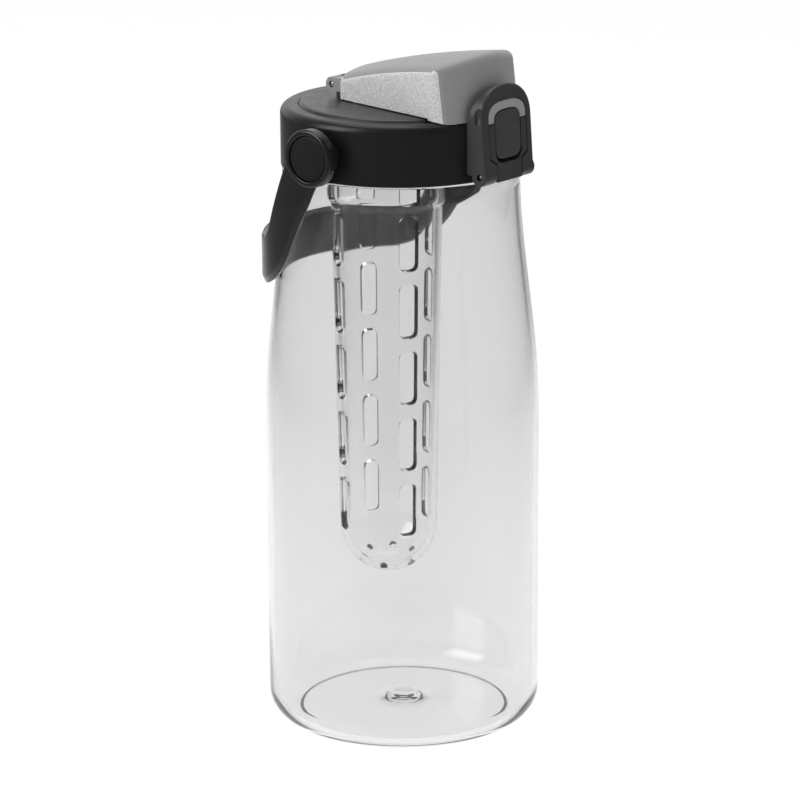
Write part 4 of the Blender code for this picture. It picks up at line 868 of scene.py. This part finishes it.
LATCH_FRONT = 57.6 * MM
LATCH_LEAN = 0.07
LATCH_BACK = 50.45 * MM
PLATE_FRONT_Y = -70 * MM
PLATE_BACK_Y = -46.5 * MM
CUT_FRONT_Y = -75 * MM
CUT_BACK_Y = -35 * MM
INLAY_OUTER = 12.1 * MM
INLAY_INNER = 8.6 * MM
BAIL_INNER = 12.4 * MM
FOOT_INNER = 8.2 * MM
FOOT_RADIUS = 3.8 * MM
FOOT_FLARE = 3.6 * MM
LATCH_GAP = 0.3 * MM
LATCH_EDGE = 0.35 * MM
OPENING_SQUARE = 2.9
HOUSING_TOP_Z = 265.9 * MM
WELL_LOW_Z = 249.5 * MM
WELL_ROUND = 4.5 * MM
WELL_BACK_Y = -51.45 * MM
BLOCK_HALF = 7.9 * MM
BLOCK_LOW_Z = 241.8 * MM
BLOCK_PROUD = 0.1 * MM
FOOT_PIN_Y = -53.9 * MM
FOOT_PIN_Z = 244.8 * MM
FOOT_PIN_HOLE = 1.35 * MM
BUTTON_PIN_Y = -53.5 * MM
BUTTON_PIN_Z = 262.0 * MM
BUTTON_PIN_HOLE = 1.15 * MM


def latch_front(z):
    """y of the latch's front face, which leans back with height."""
    return -LATCH_FRONT + LATCH_LEAN * (z - COLLAR_LOW_Z)


def arch(half, low_z, top_z, tall, count, square):
    """An arched outline: straight sides, then half an ellipse that is squarer above 2."""
    points = [(-half, low_z)]
    for t in spread(0.0, math.pi, count):
        lift = tall * squared(math.sin(t), square)
        points.append((-half * squared(math.cos(t), square), top_z - tall + lift))
    return points + [(half, low_z)]


def leg_flare(lower):
    """The line from the foot's inner face out to the leg's, as (x, z) points, lowered or raised."""
    low_z = FOOT_PIN_Z + FOOT_RADIUS + LATCH_GAP + lower
    return [(FOOT_INNER + (BAIL_INNER - FOOT_INNER) * ease(share), low_z + FOOT_FLARE * share)
            for share in spread(0.0, 1.0, 12)]


def plate(name, outline, back_y, front_y=PLATE_FRONT_Y):
    """A filled outline of (x, z) points, extruded from its front to its back."""
    piece = laid(outline, front_y, "NGON")
    piece.name = name
    bpy.ops.mesh.extrude_region_move(TRANSFORM_OT_translate={"value": (0.0, back_y - front_y, 0.0)})
    faces_out()
    return piece


def lean_front(piece, proud=0.0):
    """Lay a plate's front corners on the latch's leaning face."""
    for vertex in piece.data.vertices:
        if vertex.co.y < PLATE_FRONT_Y + 0.1 * MM:
            vertex.co.y = latch_front(vertex.co.z) - proud
    return piece


def hollow_back(piece):
    """Cut a piece's back to the collar's round."""
    cut(piece, post("collar_round", LATCH_BACK, 0, COLLAR_LOW_Z - 20 * MM, 300 * MM, 160))


flare = [(x - LATCH_GAP, z) for x, z in leg_flare(LATCH_GAP)]
frame_outline = [(-x, z) for x, z in flare] + [(-INLAY_OUTER, HOUSING_TOP_Z), (INLAY_OUTER, HOUSING_TOP_Z)]
frame_outline += flare[::-1]
housing = lean_front(plate("latch_bracket", frame_outline, PLATE_BACK_Y))
soften(housing, LATCH_EDGE, angle=60.0)
foot_block = block("latch_foot", (-BLOCK_HALF, PLATE_FRONT_Y, BLOCK_LOW_Z),
                   (BLOCK_HALF, PLATE_BACK_Y, WELL_LOW_Z + 6 * MM))
weld(housing, soften(lean_front(foot_block, BLOCK_PROUD), 0.5 * MM, angle=60.0))
well = [(-INLAY_INNER, HOUSING_TOP_Z + 5 * MM), (INLAY_INNER, HOUSING_TOP_Z + 5 * MM)]
well += corner(INLAY_INNER, WELL_LOW_Z, WELL_ROUND, 0, -90, 10)
well += corner(-INLAY_INNER, WELL_LOW_Z, WELL_ROUND, -90, -180, 10)
cut(housing, plate("button_well", well, WELL_BACK_Y))
hollow_back(housing)
cross_hole(housing, FOOT_PIN_HOLE, 20 * MM, FOOT_PIN_Y, FOOT_PIN_Z)
cross_hole(housing, BUTTON_PIN_HOLE, 14 * MM, BUTTON_PIN_Y, BUTTON_PIN_Z)
charcoal = moulded("charcoal_plastic", (0.036, 0.036, 0.037), (0.34, 0.42), 0.006 * MM, mottle=0.08,
                   specular=0.3)
finished(housing, charcoal, "lid", "latch_housing")


# Latch pins and button spring
# Two plain steel pins carry the bail and the button. A short compression spring behind the button's
# lower half holds it out.

BUTTON_PIN_RADIUS = 0.8 * MM
BUTTON_PIN_HALF = 11.8 * MM
FOOT_PIN_RADIUS = 1.0 * MM
FOOT_PIN_HALF = 15.0 * MM
BUTTON_SPRING_Z = 255.6 * MM
BUTTON_SPRING_COIL = 2.1 * MM
BUTTON_SPRING_WIRE = 0.25 * MM
BUTTON_SPRING_TURNS = 3
BUTTON_SPRING_STEPS = BUTTON_SPRING_TURNS * 28

button_pin = pin("rocker_pin", BUTTON_PIN_RADIUS, BUTTON_PIN_HALF, BUTTON_PIN_Y, BUTTON_PIN_Z)
finished(button_pin, bar_steel, "lid", "button_pin")
bail_pin = pin("bail_axle", FOOT_PIN_RADIUS, FOOT_PIN_HALF, FOOT_PIN_Y, FOOT_PIN_Z)
finished(bail_pin, bar_steel, "lid", "bail_pin")
spring_low, spring_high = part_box("button_spring")
depths = spread(spring_low.y + BUTTON_SPRING_WIRE, spring_high.y - BUTTON_SPRING_WIRE, BUTTON_SPRING_STEPS)
turns = arc((0.0, BUTTON_SPRING_Z), BUTTON_SPRING_COIL, 0, 360 * BUTTON_SPRING_TURNS, BUTTON_SPRING_STEPS)
button_coil = [(x, y, z) for y, (x, z) in zip(depths, turns)]
button_spring = wire("rocker_spring", button_coil, BUTTON_SPRING_WIRE, 2)
finished(button_spring, wire_steel, "button", "button_spring", smooth=60.0)


# Release button
# A rocker of finely grained charcoal plastic with a flat face that leans back. It turns on its pin; the stem
# and catch behind its upper end reach toward the cap's lip.

BUTTON_HALF = 8.25 * MM
BUTTON_LOW_Z = 251.0 * MM
BUTTON_TOP_Z = 270.85 * MM
BUTTON_PROUD = 0.15 * MM
BUTTON_BACK_Y = -53.6 * MM
BUTTON_ROUND = 4.5 * MM
BUTTON_ARCH = 0.62
HUB_HALF_TALL = 2.0 * MM
HUB_BACK = 1.75 * MM
CATCH_HALF = 4.6 * MM
STEM_THICK = 1.6 * MM
POCKET_RADIUS = 2.65 * MM
POCKET_DEEP = 2.4 * MM

outline = arch(BUTTON_HALF, BUTTON_LOW_Z + BUTTON_ROUND, BUTTON_TOP_Z, BUTTON_HALF * BUTTON_ARCH, 20,
               OPENING_SQUARE)
outline += corner(BUTTON_HALF, BUTTON_LOW_Z, BUTTON_ROUND, -8, -90, 8)
outline += corner(-BUTTON_HALF, BUTTON_LOW_Z, BUTTON_ROUND, -90, -172, 8)
button = lean_front(plate("rocker_button", outline, BUTTON_BACK_Y), BUTTON_PROUD)
soften(button, 0.7 * MM, 4, 60.0)
hub_half = BUTTON_HALF - 1 * MM
weld(button, block("rocker_hub", (-hub_half, BUTTON_BACK_Y - 0.5 * MM, BUTTON_PIN_Z - HUB_HALF_TALL),
                   (hub_half, BUTTON_PIN_Y + HUB_BACK, BUTTON_PIN_Z + HUB_HALF_TALL)))
weld(button, block("catch_stem", (-CATCH_HALF, BUTTON_BACK_Y - 0.5 * MM, BUTTON_PIN_Z + 1 * MM),
                   (CATCH_HALF, BUTTON_BACK_Y + STEM_THICK, BUTTON_TOP_Z - 0.3 * MM)))
catch_back_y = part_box("release_button")[1].y
weld(button, block("catch_nose", (-CATCH_HALF + 0.1 * MM, BUTTON_BACK_Y, BUTTON_TOP_Z - 2.0 * MM),
                   (CATCH_HALF - 0.1 * MM, catch_back_y, BUTTON_TOP_Z - 0.4 * MM)))
cut(button, rod("rocker_pocket", POCKET_RADIUS, (0, BUTTON_BACK_Y - POCKET_DEEP, BUTTON_SPRING_Z),
                (0, BUTTON_BACK_Y + 1 * MM, BUTTON_SPRING_Z), 32))
cross_hole(button, BUTTON_PIN_HOLE, 12 * MM, BUTTON_PIN_Y, BUTTON_PIN_Z)
button_plastic = moulded("button_plastic", (0.041, 0.041, 0.042), (0.5, 0.62), 0.03 * MM, 1500.0, 0.08,
                         specular=0.35, speckle=0.15)
finished(button, button_plastic, "button", "release_button")


# Lock bail
# An arched yoke in charcoal plastic that stands over the button and swings down on the pin through its
# feet. Its back follows the collar and the cap, and each side has a scoop for a fingertip.

BAIL_HALF = 16.2 * MM
BAIL_TOP_Z = 281.2 * MM
BAIL_ARCH_TALL = 14.4 * MM
BAIL_SQUARE = 2.25
BAIL_THIN = 3.2 * MM
BAIL_BACK_Y = -46.45 * MM
BAIL_OPENING_TOP_Z = 275.0 * MM
BAIL_OPENING_TALL = 7.8 * MM
SCOOP_Z = 270.5 * MM
SCOOP_SIZE = Vector((1.5, 2.0, 4.6)) * MM
TOE_OVERLAP = 0.8 * MM

bail = lean_front(plate("lock_yoke", arch(BAIL_HALF, FOOT_PIN_Z, BAIL_TOP_Z, BAIL_ARCH_TALL, 36, BAIL_SQUARE),
                        BAIL_BACK_Y))
soften(bail, 1.3 * MM, 5, 50.0)
yoke_opening = arch(BAIL_INNER, FOOT_PIN_Z - 10 * MM, BAIL_OPENING_TOP_Z, BAIL_OPENING_TALL, 28,
                    OPENING_SQUARE)
cut(bail, plate("yoke_opening", yoke_opening, CUT_BACK_Y, CUT_FRONT_Y))
hollow_back(bail)
cut(bail, post("yoke_slope", LATCH_BACK, 0, BAIL_TOP_Z - BAIL_ARCH_TALL, BAIL_TOP_Z + 1 * MM, 160,
               LATCH_BACK + BAIL_THIN))
for side in (-1, 1):
    deselect()
    scoop_y = latch_front(SCOOP_Z) + SCOOP_SIZE.y * 1.1
    bpy.ops.mesh.primitive_uv_sphere_add(segments=32, ring_count=20, radius=1.0, scale=SCOOP_SIZE,
                                         location=(side * BAIL_HALF, scoop_y, SCOOP_Z))
    cut(bail, settled("scoop"))
    foot_end = side * (BAIL_HALF - 0.1 * MM)
    foot = bar("yoke_foot", FOOT_RADIUS, side * FOOT_INNER, foot_end, FOOT_PIN_Y, FOOT_PIN_Z, 48)
    weld(bail, soften(foot, 0.4 * MM))
    toe = leg_flare(-LATCH_GAP)
    toe_end = BAIL_INNER + TOE_OVERLAP
    toe += [(toe_end, toe[-1][1]), (toe_end, FOOT_PIN_Z), (FOOT_INNER, FOOT_PIN_Z)]
    weld(bail, lean_front(plate("yoke_toe", [(side * x, z) for x, z in toe], FOOT_PIN_Y)))
cross_hole(bail, FOOT_PIN_HOLE, 20 * MM, FOOT_PIN_Y, FOOT_PIN_Z)
finished(bail, charcoal, "bail", "lock_bail")


# Bail inlay
# A lighter grey arch pressed into the yoke's opening, its face level with the yoke's. It frames the
# button's upper end.

INLAY_LOW_Z = 266.2 * MM
INLAY_TOP_Z = 274.7 * MM
INLAY_WIDE = 3.5 * MM
INLAY_DEEP = 2.8 * MM

inlay_outline = arch(INLAY_OUTER, INLAY_LOW_Z, INLAY_TOP_Z, BAIL_OPENING_TALL, 28, OPENING_SQUARE)
inlay_opening = arch(INLAY_INNER, INLAY_LOW_Z - 5 * MM, INLAY_TOP_Z - INLAY_WIDE,
                     INLAY_INNER * BUTTON_ARCH, 28, OPENING_SQUARE)
inlay = lean_front(plate("yoke_inlay", inlay_outline, latch_front(INLAY_TOP_Z) + INLAY_DEEP))
cut(inlay, plate("inlay_opening", inlay_opening, CUT_BACK_Y, CUT_FRONT_Y))
soften(inlay, LATCH_EDGE, angle=60.0)
inlay_plastic = moulded("inlay_plastic", (0.25, 0.25, 0.252), (0.36, 0.46), 0.004 * MM, mottle=0.03)
finished(inlay, inlay_plastic, "bail", "bail_inlay")


# Carry handle
# One strip of black plastic bent round the back of the shoulder, with a disc-shaped eye at each end.
# The eye's rim stands proud round a recess, and the arm's front edge is bevelled.

EYE_RADIUS = 12.0 * MM
EYE_INNER = 55.3 * MM
EYE_FACE = 60.1 * MM
EYE_FLOOR = 57.0 * MM
EYE_ROUND = 1.2 * MM
EYE_BACK_ROUND = 0.6 * MM
RECESS_RADIUS = 9.55 * MM
RECESS_EDGE = 0.4 * MM
STRAP_RADIUS = 58.5 * MM
STRAP_THICK = 3.4 * MM
STRAP_BACK_THICK = 2.5 * MM
STRAP_THIN_RUN = 16 * MM
STRAP_ARM_WIDE = 19.2 * MM
STRAP_BACK_WIDE = 20.2 * MM
STRAP_BACK_Z = 202.2 * MM
STRAP_ARM_START = 1.8 * MM
STRAP_ARM_RUN = 30.4 * MM
STRAP_BEND = 15.0 * MM
STRAP_FILL = 0.4 * MM
STRAP_ROWS = 40
STRAP_SECTION = ((-0.5, 1.1), (-0.45, 0.62), (-0.39, 0.14), (-0.37, 0.0), (-0.15, 0.0), (0.0, 0.0),
                 (0.15, 0.0), (0.3, 0.0), (0.42, 0.0), (0.46, 0.25), (0.5, 0.6))


def strap_row(share):
    """One row by its share of the way from pivot to back: run, height, slope, width, fill at the bend."""
    fall = PIVOT_Z - STRAP_BACK_Z
    slope = math.atan2(fall, STRAP_ARM_RUN - STRAP_ARM_START)
    bend_run = STRAP_ARM_RUN - STRAP_BEND * math.cos(slope)
    bend_z = STRAP_BACK_Z + STRAP_BEND * math.sin(slope)
    radius = STRAP_BEND / math.tan(slope / 2)
    arm_long = math.hypot(bend_run - STRAP_ARM_START, PIVOT_Z - bend_z)
    bend_long = radius * slope
    back_run = math.pi / 2 * STRAP_RADIUS
    way = share * (arm_long + bend_long + back_run - STRAP_ARM_RUN - STRAP_BEND)
    if way < arm_long:
        run = STRAP_ARM_START + way * math.cos(slope)
        z = PIVOT_Z - way * math.sin(slope)
        turn = slope
    elif way < arm_long + bend_long:
        turn = slope - (way - arm_long) / radius
        run = STRAP_ARM_RUN + STRAP_BEND - radius * math.sin(turn)
        z = STRAP_BACK_Z + radius - radius * math.cos(turn)
    else:
        turn = 0.0
        run = STRAP_ARM_RUN + STRAP_BEND + way - arm_long - bend_long
        z = STRAP_BACK_Z
    start = bend_run * 0.5
    wide = STRAP_ARM_WIDE + (STRAP_BACK_WIDE - STRAP_ARM_WIDE) * ease((run - start) / (back_run - start))
    bend = min(max((run - start) / (STRAP_ARM_RUN * 1.7), 0.0), 1.0)
    fill = STRAP_FILL * math.sin(math.pi * bend) ** 2
    return run, z, turn, wide, fill


section_steps = len(STRAP_SECTION) - 1
handle = sheet("carry_strap", section_steps, 2 * STRAP_ROWS)
for vertex in handle.data.vertices:
    share, sink = STRAP_SECTION[round((vertex.co.x + 1.0) / 2.0 * section_steps)]
    run, z, turn, wide, fill = strap_row(1.0 - abs(vertex.co.y))
    offset = wide * share + fill * (share + 0.5)
    radius = STRAP_RADIUS - sink * MM
    angle = (run + math.sin(turn) * offset) / STRAP_RADIUS
    side = -1.0 if vertex.co.y < 0.0 else 1.0
    vertex.co = (side * radius * math.cos(angle), radius * math.sin(angle), z + math.cos(turn) * offset)
edit(handle)
bpy.ops.mesh.remove_doubles(threshold=SAME_SPOT)
faces_out()
face_outward(handle, lambda face: face.normal.x * face.center.x + face.normal.y * face.center.y)
shares = handle.vertex_groups.new(name="thickness")
for vertex in handle.data.vertices:
    up_arm = ease((vertex.co.z - STRAP_BACK_Z - STRAP_BACK_WIDE / 2) / STRAP_THIN_RUN)
    thick = STRAP_BACK_THICK + (STRAP_THICK - STRAP_BACK_THICK) * up_arm
    shares.add([vertex.index], thick / STRAP_THICK, "REPLACE")
modify(handle, "Thickness", "SOLIDIFY", thickness=STRAP_THICK, vertex_group=shares.name, offset=-1.0)
soften(handle, 0.7 * MM, angle=50.0)
eye_thick = EYE_FACE - EYE_INNER
recess_floor = EYE_FLOOR - EYE_INNER
eye_profile = [(0.0, 0.0), (EYE_RADIUS - EYE_BACK_ROUND, 0.0)]
eye_profile += corner(EYE_RADIUS, 0.0, EYE_BACK_ROUND, -90, 0, 4)
eye_profile += corner(EYE_RADIUS, eye_thick, EYE_ROUND, 0, 90, 6)
eye_profile += corner(RECESS_RADIUS, eye_thick, RECESS_EDGE, 90, 180)
eye_profile += [(RECESS_RADIUS, recess_floor), (0.0, recess_floor)]
for side in (-1, 1):
    cut(handle, bar("strap_end", EYE_RADIUS - 0.8 * MM, side * 40 * MM, side * 70 * MM, 0, PIVOT_Z, 64))
    weld(handle, turned("eye", eye_profile, 96, (side * EYE_INNER, 0.0, PIVOT_Z), side))
    cut(handle, bar("eye_hole", SCREW_HOLE, side * 50 * MM, side * 70 * MM, 0, PIVOT_Z, 32))
handle_plastic = moulded("handle_plastic", (0.0088, 0.0088, 0.0092), (0.2, 0.27), 0.004 * MM, mottle=0.12,
                         specular=0.4)
finished(handle, handle_plastic, "handle", "carry_handle")


# Handle pivots
# Each eye turns on a steel screw whose head lies in the recess, hidden by a thin pressed-in cover
# with a slightly domed face.

COVER_RADIUS = 9.2 * MM
COVER_LOW = 58.6 * MM
COVER_THICK = 1.2 * MM
COVER_ROUND = 0.45 * MM

cover_profile = [(0.0, 0.0), (COVER_RADIUS - 0.2 * MM, 0.0), (COVER_RADIUS, 0.2 * MM)]
cover_profile += corner(COVER_RADIUS, COVER_THICK - 0.15 * MM, COVER_ROUND, 0, 75, 4)
cover_profile += [(COVER_RADIUS * 0.7, COVER_THICK - 0.07 * MM), (COVER_RADIUS * 0.35, COVER_THICK)]
cover_profile += [(0.0, COVER_THICK + 0.02 * MM)]
cover_plastic = moulded("cover_plastic", (0.007, 0.007, 0.0074), (0.3, 0.4), 0.01 * MM, mottle=0.15,
                        specular=0.25)
for side, label in ((-1, "left"), (1, "right")):
    cover = turned("pivot_disc_" + label, cover_profile, 72, (side * COVER_LOW, 0.0, PIVOT_Z), side)
    finished(cover, cover_plastic, "handle", "pivot_cover_" + label)
    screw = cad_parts["handle_screw_" + label]
    screw.data.materials.clear()
    screw.data.materials.append(bar_steel)


# Studio
# A large soft lamp at the left, one overhead and a weak fill in front. The floor keeps a faint shadow.
# Floor and room are white to the camera and straight through clear plastic, and darken in front, like
# the unlit end of a studio, for what mirrors in a surface on its way.

FLOOR_SIZE = 12.0
FLOOR_SHADOW = 0.14
FLOOR_FRONT = 0.08
FLOOR_GLOW = 1.06
GLASS_FRONT = 0.17
ROOM_DIFFUSE = 0.42
ROOM_FRONT = 0.1
ROOM_FLAGS = 8.0
FLAG_DARK = 0.5
WHITE = (1.0, 1.0, 1.0, 1.0)


def lamp(name, spot, aim, size, power):
    bpy.ops.object.light_add(type="AREA", location=spot)
    light = bpy.context.object
    light.name = name
    light.data.shape = "RECTANGLE"
    light.data.size = size[0]
    light.data.size_y = size[1]
    light.data.energy = power
    light.rotation_euler = (Vector(spot) - Vector(aim)).to_track_quat("Z", "Y").to_euler()
    return light


def reckon(tree, operation, first, second=0.0):
    """One step of arithmetic on values or other nodes' outputs."""
    return added(tree, "Math", {0: first, 1: second}, operation=operation)


def along(tree, place, direction):
    """How far a point or a view direction goes in a level direction."""
    return added(tree, "VectorMath", {0: place, 1: direction}, "Value", operation="DOT_PRODUCT")


def chosen(tree, switch, off, on):
    """One value while a switch is 0, another while it is 1."""
    return added(tree, "Mix", {"Factor": switch, "A": off, "B": on}, "Result", data_type="FLOAT")


away = Vector((-level_right.y, level_right.x, 0.0))
deselect()
bpy.ops.mesh.primitive_plane_add(size=FLOOR_SIZE, location=(0, 0, -0.1 * MM))
floor = settled("floor")
white_floor, tree, shader, place = new_material("white_floor")
plug(tree, shader, {"Base Color": tinted(tree, noise(tree, place, 3.0), (0.9, 0.9, 0.9), (0.93, 0.93, 0.93)),
                    "Roughness": 0.9, "Specular IOR Level": 0.1})
path = tree.nodes.new("ShaderNodeLightPath").outputs
sweep = ranged(tree, along(tree, place, away), 0.0, 1.0, -0.4, -0.1)
middle = ranged(tree, reckon(tree, "ABSOLUTE", along(tree, place, level_right)), 1.0, 0.0, 0.22, 0.6)
pool = reckon(tree, "MULTIPLY", sweep, middle)
mirrored = chosen(tree, path["Is Transmission Ray"], ranged(tree, pool, FLOOR_FRONT, 1.0, 0.0, 1.0),
                  ranged(tree, pool, GLASS_FRONT, 1.0, 0.0, 1.0))
lit = reckon(tree, "MAXIMUM", mirrored, reckon(tree, "LESS_THAN", path["Glossy Depth"], 0.5))
glow = added(tree, "Emission", {"Color": WHITE, "Strength": reckon(tree, "MULTIPLY", lit, FLOOR_GLOW)})
seen = path["Is Camera Ray"]
for kind in ("Is Glossy Ray", "Is Transmission Ray"):
    seen = reckon(tree, "MAXIMUM", seen, path[kind])
blended(tree, reckon(tree, "MULTIPLY", seen, 1.0 - FLOOR_SHADOW), shader.outputs["BSDF"], glow)
floor.data.materials.append(white_floor)

lamp("key_softbox", (-1.45, 0.75, 1.05), (0.0, 0.0, 0.15), (1.1, 1.3), 24.0)
lamp("top_softbox", (0.25, 0.25, 1.7), (0.0, 0.0, 0.2), (1.2, 1.2), 12.0)
front_fill = lamp("front_fill", (0.4, -1.9, 0.7), (0.0, 0.0, 0.15), (0.9, 0.9), 8.0)
front_fill.visible_glossy = False
front_fill.visible_transmission = False

world = bpy.context.scene.world or bpy.data.worlds.new("room")
bpy.context.scene.world = world
world.use_nodes = True
room = world.node_tree


def room_step(value, low, high, start, end):
    return ranged(room, value, start, end, low, high, "SMOOTHSTEP")


direction = added(room, "TexCoord", {}, "Generated")
axes = room.nodes.new("ShaderNodeSeparateXYZ")
plug(room, axes, {"Vector": direction})
path = room.nodes.new("ShaderNodeLightPath").outputs
behind = along(room, direction, away)
bearing = reckon(room, "ARCTAN2", axes.outputs["Y"], axes.outputs["X"])
waves = reckon(room, "COSINE", reckon(room, "MULTIPLY", bearing, ROOM_FLAGS))
level = reckon(room, "ABSOLUTE", axes.outputs["Z"])
upright = room_step(reckon(room, "MULTIPLY", waves, -1.0), 0.3, 0.8, 0.0, 1.0)
flags = reckon(room, "MULTIPLY", upright, room_step(behind, 0.55, 0.8, 1.0, 0.0))
flags = reckon(room, "MULTIPLY", flags, room_step(level, 0.6, 0.85, 1.0, 0.0))
flagged = reckon(room, "SUBTRACT", 1.0, reckon(room, "MULTIPLY", flags, FLAG_DARK))
unmirrored = reckon(room, "LESS_THAN", path["Glossy Depth"], 0.5)
glass_room = reckon(room, "MAXIMUM", room_step(behind, 0.0, 0.8, GLASS_FRONT, 1.0), unmirrored)
gloss_room = room_step(behind, 0.25, 0.92, ROOM_FRONT, 1.0)
strength = chosen(room, path["Is Glossy Ray"], ROOM_DIFFUSE, reckon(room, "MULTIPLY", gloss_room, flagged))
glass_room = reckon(room, "MULTIPLY", flagged, glass_room)
strength = chosen(room, path["Is Transmission Ray"], strength, glass_room)
strength = chosen(room, path["Is Camera Ray"], strength, 1.0)
plug(room, room.nodes["Background"], {"Color": WHITE, "Strength": strength})
bpy.context.scene.view_settings.view_transform = "Standard"
